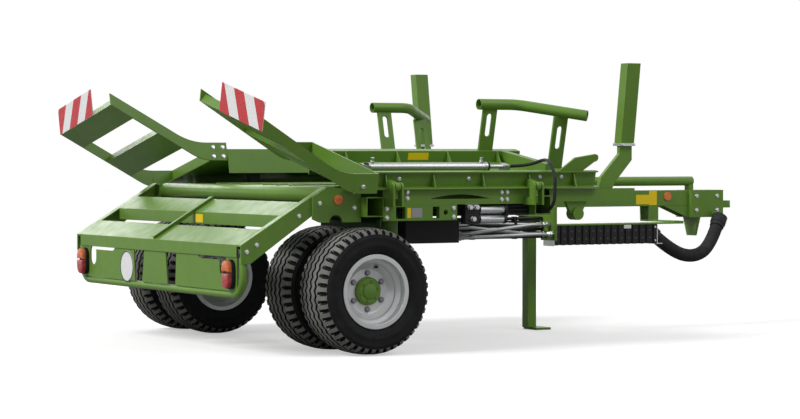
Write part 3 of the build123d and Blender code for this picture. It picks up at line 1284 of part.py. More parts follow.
    with BuildPart() as skid:
        reach = SKID_FRONT - SKID_BEND_X
        with BuildLine() as skid_line:
            FilletPolyline(
                table_point(SKID_REAR, SKID_ACROSS, SKID_RISE),
                table_point(SKID_BEND_X, SKID_ACROSS, SKID_RISE),
                table_point(SKID_FRONT, SKID_ACROSS - reach, SKID_RISE),
                radius=SKID_BEND_R,
            )
        with BuildSketch(Plane(skid_line.line @ 0, z_dir=skid_line.line % 0)):
            Circle(SKID_D / 2)
            Circle(SKID_D / 2 - SKID_WALL, mode=Mode.SUBTRACT)
        sweep()
        leg_top = SKID_RISE - SKID_D / 2 + SKID_WALL
        for x in SKID_LEG_X:
            across = SKID_ACROSS - max(0.0, x - SKID_BEND_X)
            foot = FREE_RAIL_TOP if x < TABLE_CORNER else CHANNEL_BOTTOM
            middle = (foot + leg_top) / 2
            with BuildSketch(table_edge(across + SKID_LEG_T / 2)):
                with Locations((x, middle)):
                    Rectangle(SKID_LEG_W, leg_top - foot)
                with Locations((x, middle + LEG_SLOT_UP)):
                    SlotOverall(*LEG_SLOT, rotation=90, mode=Mode.SUBTRACT)
            extrude(amount=SKID_LEG_T)
        finish_side(side)
    save(skid, f"skid_{side_name}")

    with BuildPart(TABLE) as cylinder:
        rise = CHANNEL_BOTTOM + TABLE_CYL_UP + TABLE_CYL_D / 2
        rear, front = TABLE_CYL_X
        lengths = (
            (rear, front - rear, TABLE_CYL_D),
            (front - GLAND_RING_L, GLAND_RING_L, GLAND_D),
            (front, TABLE_ROD_END - front, TABLE_ROD_D),
        )
        for x, length, diameter in lengths:
            with Locations(Location((x, TABLE_CYL_ACROSS, rise), ALONG_X)):
                Cylinder(diameter / 2, length, align=FROM_START)
        for x in (rear, TABLE_ROD_END):
            block(
                (x - CYL_FOOT[0] / 2, x + CYL_FOOT[0] / 2),
                (TABLE_CYL_ACROSS - CYL_FOOT[1] / 2, TABLE_CYL_ACROSS + CYL_FOOT[1] / 2),
                (CHANNEL_BOTTOM, rise + TABLE_ROD_D / 2),
            )
        finish_side(side)
    save(cylinder, f"table_cylinder_{side_name}")
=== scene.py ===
import json
from math import cos, pi, radians, sin, tau

import bmesh
import bpy
from mathutils import Matrix, Vector


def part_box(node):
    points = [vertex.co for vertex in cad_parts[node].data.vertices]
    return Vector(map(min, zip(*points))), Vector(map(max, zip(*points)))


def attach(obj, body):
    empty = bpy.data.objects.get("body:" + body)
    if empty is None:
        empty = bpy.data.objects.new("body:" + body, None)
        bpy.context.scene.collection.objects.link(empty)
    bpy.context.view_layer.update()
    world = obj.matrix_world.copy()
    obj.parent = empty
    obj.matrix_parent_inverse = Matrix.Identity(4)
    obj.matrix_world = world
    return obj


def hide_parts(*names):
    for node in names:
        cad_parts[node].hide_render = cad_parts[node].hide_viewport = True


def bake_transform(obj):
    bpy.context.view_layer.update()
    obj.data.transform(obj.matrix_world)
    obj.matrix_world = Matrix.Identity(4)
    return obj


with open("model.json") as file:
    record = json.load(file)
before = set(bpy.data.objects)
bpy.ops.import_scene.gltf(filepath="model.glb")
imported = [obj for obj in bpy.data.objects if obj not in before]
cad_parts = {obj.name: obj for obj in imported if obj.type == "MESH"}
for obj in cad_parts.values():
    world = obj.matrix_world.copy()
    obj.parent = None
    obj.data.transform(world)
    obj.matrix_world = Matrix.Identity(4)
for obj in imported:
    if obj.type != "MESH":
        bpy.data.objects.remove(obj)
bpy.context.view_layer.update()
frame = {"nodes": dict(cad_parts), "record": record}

# Places, in metres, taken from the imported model
JOINTS = {joint["name"]: joint for joint in frame["record"]["behaviour"]["joints"]}
AXLE = Vector(JOINTS["wheel_spin_right"]["pos_m"])
AXLE_X = AXLE.x
PAIR_Y = abs(AXLE.y)
HINGE_Y = abs(JOINTS["table_fold_right"]["pos_m"][1])
HINGE_Z = JOINTS["table_fold_right"]["pos_m"][2]
HEAD_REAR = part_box("drawbar_beam")[1][0]
BEAM_Z = (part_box("drawbar_beam")[0][2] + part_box("drawbar_beam")[1][2]) / 2
FOLD_TILT = radians(13.0)       # folded table plane to the horizontal
SIDES = (("right", -1.0), ("left", 1.0))


def at(x, y, z):
    """A point whose X is measured from the axle."""
    return Vector((AXLE_X + x, y, z))


def table_frame(side):
    """Table coordinates (X from the axle, across from the hinge, rise) to the model's frame."""
    across = Vector((0, -side * cos(FOLD_TILT), sin(FOLD_TILT)))
    rise = Vector((0, side * sin(FOLD_TILT), cos(FOLD_TILT)))
    matrix = Matrix.Identity(4)
    columns = (Vector((1, 0, 0)), across, rise, Vector((AXLE_X, side * HINGE_Y, HINGE_Z)))
    for index, column in enumerate(columns):
        for row in range(3):
            matrix[row][index] = column[row]
    return matrix


# Camera at the photograph's viewing angle
CAMERA_PLACE = at(-7.31, -14.19, 1.20)
CAMERA_AIM = at(0.98, 0.0, 0.83)
CAMERA_LENS = 112.0
camera_data = bpy.data.cameras.new("camera")
camera_data.lens = CAMERA_LENS
camera_data.clip_end = 200.0
camera = bpy.data.objects.new("camera", camera_data)
camera.location = CAMERA_PLACE
camera.rotation_euler = (CAMERA_AIM - CAMERA_PLACE).to_track_quat("-Z", "Y").to_euler()
bpy.context.scene.collection.objects.link(camera)
bpy.context.scene.camera = camera
bpy.context.scene.view_settings.view_transform = "Standard"


# Materials
COAT_ROUGHNESS = 0.08
MIX_FACTOR, MIX_LOW, MIX_HIGH, MIX_RESULT = 0, 6, 7, 2      # sockets of a Mix node for colours


class Shader:
    """A material with a Principled shader, and short calls for the nodes that feed it."""

    def __init__(self, name, colour, roughness, metallic=0.0, coat=0.0, specular=0.5):
        self.material = bpy.data.materials.new(name)
        self.material.use_nodes = True
        self.tree = self.material.node_tree
        self.shader = self.tree.nodes["Principled BSDF"]
        settings = {
            "Base Color": (*colour, 1.0),
            "Roughness": roughness,
            "Metallic": metallic,
            "Coat Weight": coat,
            "Coat Roughness": COAT_ROUGHNESS,
            "Specular IOR Level": specular,
        }
        for key, value in settings.items():
            self.shader.inputs[key].default_value = value
        self.material.diffuse_color = (*colour, 1.0)
        self.coordinates = self.node("ShaderNodeTexCoord").outputs["Object"]

    def node(self, kind, **settings):
        made = self.tree.nodes.new(kind)
        for key, value in settings.items():
            setattr(made, key, value)
        return made

    def link(self, source, target):
        self.tree.links.new(source, target)

    def stretched(self, scale):
        mapping = self.node("ShaderNodeMapping")
        mapping.inputs["Scale"].default_value = scale
        self.link(self.coordinates, mapping.inputs["Vector"])
        return mapping.outputs["Vector"]

    def noise(self, scale, detail=3.0, stretch=None):
        made = self.node("ShaderNodeTexNoise")
        made.inputs["Scale"].default_value = scale
        made.inputs["Detail"].default_value = detail
        self.link(self.stretched(stretch) if stretch else self.coordinates, made.inputs["Vector"])
        return made.outputs["Fac"]

    def cells(self, scale, feature="F1"):
        made = self.node("ShaderNodeTexVoronoi", feature=feature)
        made.inputs["Scale"].default_value = scale
        self.link(self.coordinates, made.inputs["Vector"])
        return made.outputs["Distance"]

    def spread(self, value, low=0.0, high=1.0, start=0.3, end=0.7):
        """Stretches the values between start and end over the range from low to high."""
        made = self.node("ShaderNodeMapRange")
        for name, number in (("From Min", start), ("From Max", end), ("To Min", low), ("To Max", high)):
            made.inputs[name].default_value = number
        self.link(value, made.inputs["Value"])
        return made.outputs["Result"]

    def blend(self, factor, low, high):
        made = self.node("ShaderNodeMix", data_type="RGBA")
        for index, colour in ((MIX_LOW, low), (MIX_HIGH, high)):
            if isinstance(colour, tuple):
                made.inputs[index].default_value = (*colour, 1.0)
            else:
                self.link(colour, made.inputs[index])
        self.link(factor, made.inputs[MIX_FACTOR])
        return made.outputs[MIX_RESULT]

    def colour(self, output):
        self.link(output, self.shader.inputs["Base Color"])

    def roughness(self, output):
        self.link(output, self.shader.inputs["Roughness"])

    def bump(self, *layers):
        """Layers of (height, distance), each on top of the one before."""
        normal = None
        for height, distance in layers:
            made = self.node("ShaderNodeBump")
            made.inputs["Strength"].default_value = 1.0
            made.inputs["Distance"].default_value = distance
            self.link(height, made.inputs["Height"])
            if normal:
                self.link(normal, made.inputs["Normal"])
            normal = made.outputs["Normal"]
        self.link(normal, self.shader.inputs["Normal"])


def shade(colour, factor):
    return tuple(min(1.0, channel * factor) for channel in colour)


# Heights of the fine relief, in metres
PEEL_HEIGHT = 0.00006
WAVE_HEIGHT = 0.0003
LEATHER_HEIGHT = 0.00012
STREAK_HEIGHT = 0.00008
LENS_RIB_HEIGHT = 0.0012
LENS_CELL_HEIGHT = 0.0006
COMB_HEIGHT = 0.0001


def paint(name, colour, roughness, metallic=0.0, specular=0.3):
    """Sprayed paint: slow changes of tone, a film of dust, fine orange peel and an uneven gloss."""
    made = Shader(name, colour, roughness, metallic=metallic, specular=specular)
    tone = made.spread(made.noise(scale=2.2, detail=4.0))
    dust = made.spread(made.noise(scale=9.0, detail=6.0), start=0.45, end=0.75)
    base = made.blend(tone, shade(colour, 0.92), shade(colour, 1.08))
    greyed = tuple(0.88 * channel + 0.012 for channel in colour)
    made.colour(made.blend(dust, base, greyed))
    gloss = made.noise(scale=14.0, detail=5.0)
    made.roughness(made.spread(gloss, roughness - 0.05, roughness + 0.09))
    peel = made.noise(scale=420.0, detail=2.0)
    waves = made.noise(scale=28.0, detail=2.0)
    made.bump((peel, PEEL_HEIGHT), (waves, WAVE_HEIGHT))
    return made.material


GREEN_COLOUR = (0.120, 0.240, 0.030)
# Painted shade: a darker copy of the green paint, for the parts that sit in shade
SHADED_GREEN_COLOUR = (0.030, 0.085, 0.018)
SILVER_COLOUR = (0.62, 0.63, 0.64)
YELLOW_COLOUR = (0.95, 0.66, 0.008)
RED_COLOUR = (0.56, 0.020, 0.030)
WHITE_COLOUR = (0.82, 0.83, 0.82)
ORANGE_COLOUR = (0.88, 0.19, 0.010)

green = paint("green paint", GREEN_COLOUR, roughness=0.34)
# painted shade: the green paint made darker
dark_green = paint("green paint in painted shade", SHADED_GREEN_COLOUR, roughness=0.42)
silver = paint("silver wheel paint", SILVER_COLOUR, roughness=0.38, metallic=0.35, specular=0.4)


def make_rubber(name, colour, grain, specular=0.15):
    """Rubber with chalky places and a grain of this height."""
    made = Shader(name, colour, roughness=0.78, specular=specular)
    chalk = made.spread(made.noise(scale=7.0, detail=6.0), start=0.42, end=0.72)
    made.colour(made.blend(chalk, colour, shade(colour, 1.5)))
    made.roughness(made.spread(made.noise(scale=30.0, detail=3.0), low=0.68, high=0.88))
    made.bump((made.noise(scale=260.0, detail=3.0), grain))
    return made.material


def make_plastic(name, colour, roughness, specular=0.25):
    """Moulded plastic with a leather grain."""
    made = Shader(name, colour, roughness, specular=specular)
    worn = made.spread(made.noise(scale=11.0, detail=4.0))
    made.colour(made.blend(worn, colour, shade(colour, 1.5)))
    gloss = made.noise(scale=60.0, detail=3.0)
    made.roughness(made.spread(gloss, roughness - 0.07, roughness + 0.08))
    made.bump((made.cells(scale=900.0), LEATHER_HEIGHT))
    return made.material


def make_steel(name, colour, roughness, brushed):
    """Bare steel with streaks. Brushed is the noise's scale along the three axes."""
    made = Shader(name, colour, roughness, metallic=1.0)
    streaks = made.noise(scale=60.0, detail=4.0, stretch=brushed)
    made.colour(made.blend(made.spread(streaks), shade(colour, 0.84), shade(colour, 1.1)))
    made.roughness(made.spread(streaks, roughness - 0.06, roughness + 0.10))
    made.bump((streaks, STREAK_HEIGHT))
    return made.material


def make_lens(name, colour):
    """Moulded lamp lens: close ribs under a glossy skin."""
    made = Shader(name, colour, roughness=0.16, coat=0.4)
    ribs = made.node("ShaderNodeTexWave", wave_type="BANDS", bands_direction="Z")
    ribs.inputs["Scale"].default_value = 40.0
    made.link(made.coordinates, ribs.inputs["Vector"])
    made.colour(made.blend(ribs.outputs["Fac"], shade(colour, 0.62), shade(colour, 1.15)))
    made.bump((ribs.outputs["Fac"], LENS_RIB_HEIGHT), (made.cells(scale=260.0), LENS_CELL_HEIGHT))
    return made.material


def make_sheet(name, colour):
    """Retroreflective sheet: a fine honeycomb under a smooth skin."""
    made = Shader(name, colour, roughness=0.34, specular=0.3)
    comb = made.spread(made.cells(scale=340.0, feature="DISTANCE_TO_EDGE"), start=0.02, end=0.12)
    made.colour(made.blend(comb, shade(colour, 0.80), colour))
    made.bump((comb, COMB_HEIGHT))
    return made.material


# Tread rubber: a lighter copy of the side wall rubber, painted highlight on the tread. Groove rubber: a
# darker copy, painted shade in the grooves and notches.
tread_painted_highlight = make_rubber("tread painted highlight", (0.155, 0.154, 0.143), grain=0.0007)
wall_rubber = make_rubber("side wall rubber", (0.011, 0.011, 0.012), grain=0.0003)
groove_painted_shade = make_rubber("groove painted shade", (0.009, 0.009, 0.009), grain=0.0003, specular=0.08)
hose_rubber = make_rubber("hose rubber", (0.014, 0.014, 0.015), grain=0.0002, specular=0.3)
black = make_plastic("black plastic", (0.009, 0.009, 0.010), roughness=0.45)
pin_grey = make_plastic("worn black plastic", (0.045, 0.045, 0.047), roughness=0.5)
bright = make_steel("bright steel", (0.58, 0.59, 0.61), roughness=0.26, brushed=(1.0, 22.0, 22.0))
barrel_steel = make_steel("barrel steel", (0.42, 0.43, 0.43), roughness=0.34, brushed=(1.0, 18.0, 18.0))
zinc = make_steel("zinc plated", (0.60, 0.61, 0.62), roughness=0.34, brushed=(6.0, 6.0, 6.0))
pipe_steel = make_steel("pipe steel", (0.40, 0.40, 0.41), roughness=0.36, brushed=(1.0, 14.0, 14.0))
dark_steel = make_steel("dark steel", (0.20, 0.20, 0.21), roughness=0.38, brushed=(6.0, 6.0, 6.0))
red_lens = make_lens("red lens", (0.44, 0.008, 0.014))
amber_lens = make_lens("amber lens", (0.74, 0.135, 0.006))
orange = make_lens("orange reflector", ORANGE_COLOUR)
white_sheet = make_sheet("white sheet", WHITE_COLOUR)
red_sheet = make_sheet("red sheet", RED_COLOUR)
yellow = make_sheet("yellow sheet", YELLOW_COLOUR)
grey_sheet = make_sheet("grey sheet", (0.34, 0.34, 0.36))

SLOT_MATERIALS = {
    "green_paint": green,
    # the dark green slot takes the darker copy of the green, painted shade
    "dark_green_paint": dark_green,
    "silver_paint": silver,
    "black_plastic": black,
    "tyre_rubber": wall_rubber,
    "lamp_lens": red_lens,
    "white_plate": white_sheet,
    "orange_reflector": orange,
    "bright_steel": bright,
}


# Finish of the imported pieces: the slot's material and softly rounded edges
EDGE_WIDTH = 0.0028
EDGE_ANGLE = radians(40.0)
WELD_GAP = 0.00002
NODE_MATERIALS = {
    "hydraulic_lines": pipe_steel,
    "table_cylinder_left": barrel_steel,
    "table_cylinder_right": barrel_steel,
}


def round_edges(piece, width):
    """Rounds the edges that are sharper than the limit."""
    bevel = piece.modifiers.new("edges", "BEVEL")
    bevel.width = width
    bevel.segments = 2
    bevel.limit_method = "ANGLE"
    bevel.angle_limit = EDGE_ANGLE
    bevel.harden_normals = True


for subpart in frame["record"]["subparts"]:
    node = frame["nodes"][subpart["node"]]
    node.data.materials.clear()
    slot_material = SLOT_MATERIALS[subpart["material_slot"]]
    node.data.materials.append(NODE_MATERIALS.get(subpart["node"], slot_material))
    weld = node.modifiers.new("weld", "WELD")
    weld.merge_threshold = WELD_GAP
    round_edges(node, EDGE_WIDTH)


# Building blocks for the added pieces
WAYS = (-1.0, 1.0)          # to the right and to the left
TINY = 1e-6
FACETED = 25.0              # degrees from which an edge shows as sharp, on bolts and blocks
SMOOTH = 60.0               # the same on hoses
SMALL_EDGE = 0.0015         # rounding of small blocks and strips
BOLT_SIZE = 0.013           # thread diameters
SMALL_BOLT_SIZE = 0.008


def add_box(bm, low, high, matrix=Matrix.Identity(4)):
    corners = [(x, y, z) for x in (low[0], high[0]) for y in (low[1], high[1]) for z in (low[2], high[2])]
    verts = [bm.verts.new(matrix @ Vector(corner)) for corner in corners]
    for a, b, c, d in ((0, 1, 3, 2), (4, 6, 7, 5), (0, 4, 5, 1), (2, 3, 7, 6), (0, 2, 6, 4), (1, 5, 7, 3)):
        bm.faces.new((verts[a], verts[b], verts[c], verts[d]))


def add_prism(bm, outline, low, high, matrix=Matrix.Identity(4)):
    """A plate: an outline in the matrix's XY plane, from low to high along its Z."""
    rings = [[bm.verts.new(matrix @ Vector((x, y, z))) for x, y in outline] for z in (low, high)]
    bm.faces.new(rings[0][::-1])
    bm.faces.new(rings[1])
    count = len(outline)
    for index in range(count):
        after = (index + 1) % count
        bm.faces.new((rings[0][index], rings[0][after], rings[1][after], rings[1][index]))


def circle(steps):
    """(cosine, sine) at even steps round a circle."""
    angles = [tau * step / steps for step in range(steps)]
    return [(cos(angle), sin(angle)) for angle in angles]


def join_rings(bm, rings):
    """Faces from each ring of points to the next, and one over each end."""
    count = len(rings[0])
    for lower, upper in zip(rings, rings[1:]):
        for index in range(count):
            after = (index + 1) % count
            bm.faces.new((lower[index], lower[after], upper[after], upper[index]))
    bm.faces.new(rings[0][::-1])
    bm.faces.new(rings[-1])


def add_turned(bm, profile, matrix, steps=32):
    """A turned piece: (radius, height) points about the matrix's Z axis, closed at both ends."""
    rings = []
    for radius, height in profile:
        points = [Vector((radius * x, radius * y, height)) for x, y in circle(steps)]
        rings.append([bm.verts.new(matrix @ point) for point in points])
    join_rings(bm, rings)


def ring_profile(inner, outer, length, run):
    """Profile of a ring whose two edges are chamfered over this run."""
    return ((inner, 0.0), (outer, run), (outer, length - run), (inner, length))


def facing(place, direction):
    """A frame at this place whose Z axis points along the direction."""
    return Matrix.Translation(place) @ Vector(direction).to_track_quat("Z", "Y").to_matrix().to_4x4()


def add_sweep(bm, points, radius, steps=14):
    """A round bar through these points, with closed ends. The radius may differ from point to point."""
    rings = []
    side = None
    for index, point in enumerate(points):
        before = points[max(index - 1, 0)]
        after = points[min(index + 1, len(points) - 1)]
        along = (after - before).normalized()
        if side is None:
            side = along.orthogonal().normalized()
        side = (side - along * side.dot(along)).normalized()
        other = along.cross(side)
        size = radius(index) if callable(radius) else radius
        rings.append([bm.verts.new(point + size * (x * side + y * other)) for x, y in circle(steps)])
    join_rings(bm, rings)


def finish_piece(name, bm, material, body, edge=0.0, angle=35.0, extra=()):
    """Turns the faces outwards, makes the object and fixes it to its body, if it has one."""
    bmesh.ops.recalc_face_normals(bm, faces=bm.faces)
    mesh = bpy.data.meshes.new(name)
    bm.to_mesh(mesh)
    bm.free()
    for each in (material, *extra):
        mesh.materials.append(each)
    mesh.polygons.foreach_set("use_smooth", [True] * len(mesh.polygons))
    mesh.set_sharp_from_angle(angle=radians(angle))
    piece = bpy.data.objects.new(name, mesh)
    bpy.context.scene.collection.objects.link(piece)
    if edge:
        round_edges(piece, edge)
    if body:
        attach(piece, body)
    return piece


WASHER = ((1.05, 0.0), (1.05, 0.14), (0.4, 0.15))           # shares of the thread's diameter
BOLT_HEAD = ((0.88, 0.14), (0.92, 0.2), (0.92, 0.68), (0.76, 0.78))


def add_bolt(bm, place, direction, size):
    """A hexagon head on its washer. The size is the thread's diameter."""
    stand = facing(place, direction)
    for shares, steps in ((WASHER, 20), (BOLT_HEAD, 6)):
        profile = [(radius * size, height * size) for radius, height in shares]
        add_turned(bm, profile, stand, steps)


def bolts(name, body, size, rows):
    """One piece of bolts from rows of (place, direction)."""
    bm = bmesh.new()
    for place, direction in rows:
        add_bolt(bm, Vector(place), direction, size)
    return finish_piece(name, bm, zinc, body, angle=FACETED)


def smooth_line(points):
    """Points read along the NURBS spline that has these control points."""
    curve = bpy.data.curves.new("route", "CURVE")
    curve.dimensions = "3D"
    curve.resolution_u = 24
    spline = curve.splines.new("NURBS")
    spline.points.add(len(points) - 1)
    for target, point in zip(spline.points, points):
        target.co = (*point, 1.0)
    spline.order_u = 3
    spline.use_endpoint_u = True
    holder = bpy.data.objects.new("route", curve)
    line_mesh = bpy.data.meshes.new_from_object(holder)
    line = [vertex.co.copy() for vertex in line_mesh.vertices]
    bpy.data.objects.remove(holder)
    bpy.data.curves.remove(curve)
    bpy.data.meshes.remove(line_mesh)
    return line


def even_line(line, step):
    """The same line with points a step apart."""
    lengths = [0.0]
    for before, after in zip(line, line[1:]):
        lengths.append(lengths[-1] + (after - before).length)
    count = max(2, round(lengths[-1] / step))
    points = []
    index = 0
    for number in range(count + 1):
        target = lengths[-1] * number / count
        while index < len(line) - 2 and lengths[index + 1] < target:
            index += 1
        run = lengths[index + 1] - lengths[index]
        share = (target - lengths[index]) / run if run else 0.0
        points.append(line[index].lerp(line[index + 1], min(max(share, 0.0), 1.0)))
    return points, lengths[-1]


# Hose loop from the energy chain to the drawbar head: points from the head's rear and the beam's axis
HOSE_D = 0.090
HOSE_ROUTE = (
    (-0.463, -0.290, -0.255),
    (-0.309, -0.286, -0.367),
    (-0.100, -0.252, -0.411),
    (0.080, -0.200, -0.339),
    (0.185, -0.150, -0.181),
)
RIB_PITCH = 0.016
RIB_SHAPE = (0.46, 0.5, 0.5, 0.46)      # radius along one rib, as a share of the hose's diameter
RIB_STEPS = len(RIB_SHAPE)
route = [Vector((HEAD_REAR + x, y, BEAM_Z + z)) for x, y, z in HOSE_ROUTE]
hose_points, hose_length = even_line(smooth_line(route), RIB_PITCH / RIB_STEPS)
hose_bm = bmesh.new()
add_sweep(hose_bm, hose_points, lambda index: HOSE_D * RIB_SHAPE[index % RIB_STEPS], steps=20)
hose = finish_piece("hose_loop_ribbed", hose_bm, hose_rubber, "drawbar", angle=SMOOTH)
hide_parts("hose_loop")

# Tyres with zigzag tread grooves and shoulder lugs
TYRE_R = 0.380
TYRE_LUGS = 44
LUG_STEPS = 8
GROOVES = (-0.078, -0.026, 0.026, 0.078)        # across the tread
GROOVE_HALF = 0.0100
GROOVE_FLOOR = 0.62                             # share of the groove's width at its floor
GROOVE_DEPTH = 0.0140
ZIGZAG = 0.0085
LUG_DEPTH = 0.0150
CROWN = 0.0070
CROWN_HALF = 0.109
SHOULDER_EDGE = 0.100
LUG_NOTCH = (1.0, 1.0, 1.0, 1.0, 1.0, 0.0, 0.0, 0.0)    # height of the shoulder at the steps of one lug
SIDE_WALL = (                                   # distance from the middle plane, radius, share of the lugs
    (0.1395, 0.2035, 0.0), (0.1395, 0.2270, 0.0), (0.1480, 0.2350, 0.0), (0.1500, 0.2400, 0.0),
    (0.1535, 0.2440, 0.0), (0.1610, 0.2600, 0.0), (0.1646, 0.2720, 0.0), (0.1660, 0.2760, 0.0),
    (0.1660, 0.2790, 0.0), (0.1646, 0.2830, 0.0), (0.1640, 0.3000, 0.0), (0.1622, 0.3160, 0.0),
    (0.1632, 0.3190, 0.0), (0.1630, 0.3230, 0.0), (0.1605, 0.3260, 0.0), (0.1580, 0.3420, 0.0),
    (0.1560, 0.3470, 0.55), (0.1520, 0.3530, 1.0), (0.1440, 0.3600, 1.0), (0.1300, 0.3672, 1.0),
    (0.1130, 0.3725, 1.0),
)
SHOULDER_COLUMNS = 6                            # columns of the side wall that the lugs share with the tread


def crown_radius(across):
    return TYRE_R - CROWN * (across / CROWN_HALF) ** 2


def tyre_columns():
    """(distance from the middle plane, radius, zigzag share, lug share, sunk) across the whole tyre."""
    edge = (SHOULDER_EDGE, crown_radius(SHOULDER_EDGE))
    columns = [(-w, r, 0.0, lug, False) for w, r, lug in SIDE_WALL]
    columns.append((-edge[0], edge[1], 0.0, 0.0, False))
    for groove in GROOVES:
        for offset, depth in ((-1.0, 0.0), (-GROOVE_FLOOR, 1.0), (GROOVE_FLOOR, 1.0), (1.0, 0.0)):
            across = groove + offset * GROOVE_HALF
            columns.append((across, crown_radius(across) - depth * GROOVE_DEPTH, 1.0, 0.0, depth > 0))
    columns.append((*edge, 0.0, 0.0, False))
    columns += [(w, r, 0.0, lug, False) for w, r, lug in reversed(SIDE_WALL)]
    return columns


def add_tyre(bm, centre, turn):
    """One tyre. Faces of the tread get the second material, a lighter rubber as painted highlight, and those
    of its grooves and notches the third, a darker rubber as painted shade.
    """
    columns = tyre_columns()
    steps = TYRE_LUGS * LUG_STEPS
    count = len(columns)
    tread = range(len(SIDE_WALL) - SHOULDER_COLUMNS, count - len(SIDE_WALL) + SHOULDER_COLUMNS - 1)
    grid = []
    for step in range(steps):
        angle = tau * (step + turn) / steps
        phase = (step % LUG_STEPS) / LUG_STEPS
        wave = ZIGZAG * (1 - 4 * abs(phase - 0.5))
        ring = []
        for across, radius, zigzag, lug, sunk in columns:
            shift = 0 if across < 0 else LUG_STEPS // 2
            notch = 1.0 - LUG_NOTCH[(step + shift) % LUG_STEPS]
            reach = radius - notch * LUG_DEPTH * lug
            place = Vector((reach * cos(angle), across + wave * zigzag, reach * sin(angle)))
            ring.append((bm.verts.new(centre + place), sunk or notch * lug > 0.5))
        grid.append(ring)
    for step in range(steps):
        ring, after = grid[step], grid[(step + 1) % steps]
        for index in range(count):
            beside = (index + 1) % count
            corners = (ring[index], after[index], after[beside], ring[beside])
            face = bm.faces.new([vert for vert, _ in corners])
            low = sum(sunk for _, sunk in corners)
            # grooves and notches take the darker rubber as painted shade, the other tread faces the lighter
            # one as painted highlight
            if index in tread:
                face.material_index = 2 if low >= 2 else 1


TWIN_HALF = 0.225
TWINS = ((0.0, 1.0), (2.5, -1.0))               # turn of the tread in steps, way from the pair's middle
for side_name, side in SIDES:
    tyre_bm = bmesh.new()
    for turn, way in TWINS:
        add_tyre(tyre_bm, at(0, side * PAIR_Y + way * TWIN_HALF, AXLE.z), turn)
    # painted light on the tyres: lighter rubber on the tread, darker rubber in the grooves and notches
    tyres = finish_piece(
        f"tyres_{side_name}_tread", tyre_bm, wall_rubber, f"wheels_{side_name}",
        extra=(tread_painted_highlight, groove_painted_shade),
    )
    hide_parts(f"tyres_{side_name}")

# Wheel nuts, hub caps and valves
NUT_CIRCLE = 0.109
NUT_COUNT = 6
NUT_SIZE = 0.0175
DISC_FACE = 0.260           # pair's middle to the disc's open face
CAP_FACE = 0.292            # pair's middle to the hub cap's face
CAP_DOME = ((0.047, -0.001), (0.047, 0.004), (0.043, 0.008), (0.030, 0.012), (0.012, 0.0145), (0.004, 0.0150))
CAP_BOLTS = 6
CAP_BOLT_CIRCLE = 0.058
CAP_BOLT_SIZE = 0.0085
VALVE_R = 0.150
VALVE_TURN = radians(73.0)
VALVE_STEM = (
    (0.010, -0.02), (0.010, 0.010), (0.006, 0.012), (0.006, 0.030), (0.0075, 0.031), (0.0075, 0.043),
)


def spoke(angle, radius):
    return radius * Vector((cos(angle), 0, sin(angle)))


for side_name, side in SIDES:
    body = f"wheels_{side_name}"
    nut_bm = bmesh.new()
    cap_bm = bmesh.new()
    valve_bm = bmesh.new()
    middle = at(0, side * PAIR_Y, AXLE.z)
    for way in (1.0, -1.0):
        outward = Vector((0, way, 0))
        disc = middle + outward * DISC_FACE
        cap = middle + outward * CAP_FACE
        for nut in range(NUT_COUNT):
            place = disc + spoke(tau * (nut + 0.5) / NUT_COUNT, NUT_CIRCLE)
            add_bolt(nut_bm, place, outward, NUT_SIZE)
        add_turned(cap_bm, CAP_DOME, facing(cap, outward))
        for bolt in range(CAP_BOLTS):
            place = cap + spoke(tau * (bolt + 0.25) / CAP_BOLTS, CAP_BOLT_CIRCLE)
            add_bolt(cap_bm, place, outward, CAP_BOLT_SIZE)
        place = disc + spoke(VALVE_TURN, VALVE_R)
        add_turned(valve_bm, VALVE_STEM, facing(place, outward), steps=12)
    finish_piece(f"wheel_nuts_{side_name}", nut_bm, dark_steel, body, angle=FACETED)
    finish_piece(f"hub_caps_{side_name}", cap_bm, green, body, angle=FACETED)
    finish_piece(f"valves_{side_name}", valve_bm, black, body)

# Red stripes on the boards
BOARD_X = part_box("warning_board_right")[0][0] - AXLE_X
BOARD_ACROSS = (-0.035, 0.530)
BOARD_RISE = (0.341, 0.516)
STRIPE = 0.131              # along the board's length
STRIPE_START = 0.035        # end of the first stripe, from the board's outer end
STRIPE_LEAN = 0.110         # over the board's height
STRIPE_T = 0.0008


def slanted_stripe(start, end, height, low, high):
    """A stripe that leans inwards, cut off at the board's two ends."""
    corners = ((start, 0.0), (end, 0.0), (end + STRIPE_LEAN, height), (start + STRIPE_LEAN, height))
    cut = []
    for index, (x, y) in enumerate(corners):
        after = corners[(index + 1) % 4]
        cut.append((x, y))
        for limit in (low, high):
            if (x - limit) * (after[0] - limit) < 0:
                share = (limit - x) / (after[0] - x)
                cut.append((limit, y + share * (after[1] - y)))
    return [(x, y) for x, y in cut if low - TINY <= x <= high + TINY]


for side_name, side in SIDES:
    stripe_bm = bmesh.new()
    flat = Matrix(((0, 0, -1, BOARD_X), (1, 0, 0, 0), (0, 1, 0, BOARD_RISE[0]), (0, 0, 0, 1)))
    board_frame = table_frame(side) @ flat
    low, high = BOARD_ACROSS
    height = BOARD_RISE[1] - BOARD_RISE[0]
    start = low + STRIPE_START - 3 * STRIPE
    while start < high:
        stripe = slanted_stripe(start, start + STRIPE, height, low, high)
        if len(stripe) > 2:
            add_prism(stripe_bm, stripe, 0.0, STRIPE_T, board_frame)
        start += 2 * STRIPE
    finish_piece(f"board_stripes_{side_name}", stripe_bm, red_sheet, f"table_{side_name}")

# Tail lamps: black base, red lens and amber upper lens
LAMP_LOW, LAMP_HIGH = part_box("tail_lamps")
LAMP_HALF = (0.052, 0.088)      # across, up
LAMP_Y = LAMP_HIGH[1] - LAMP_HALF[0]
LAMP_Z = (LAMP_LOW[2] + LAMP_HIGH[2]) / 2
LAMP_SPLIT = 0.012          # above the lamp's middle
LENS_GAP = 0.001            # from the split to each lens
LENS_SHARP = 30.0           # degrees from which an edge shows as sharp


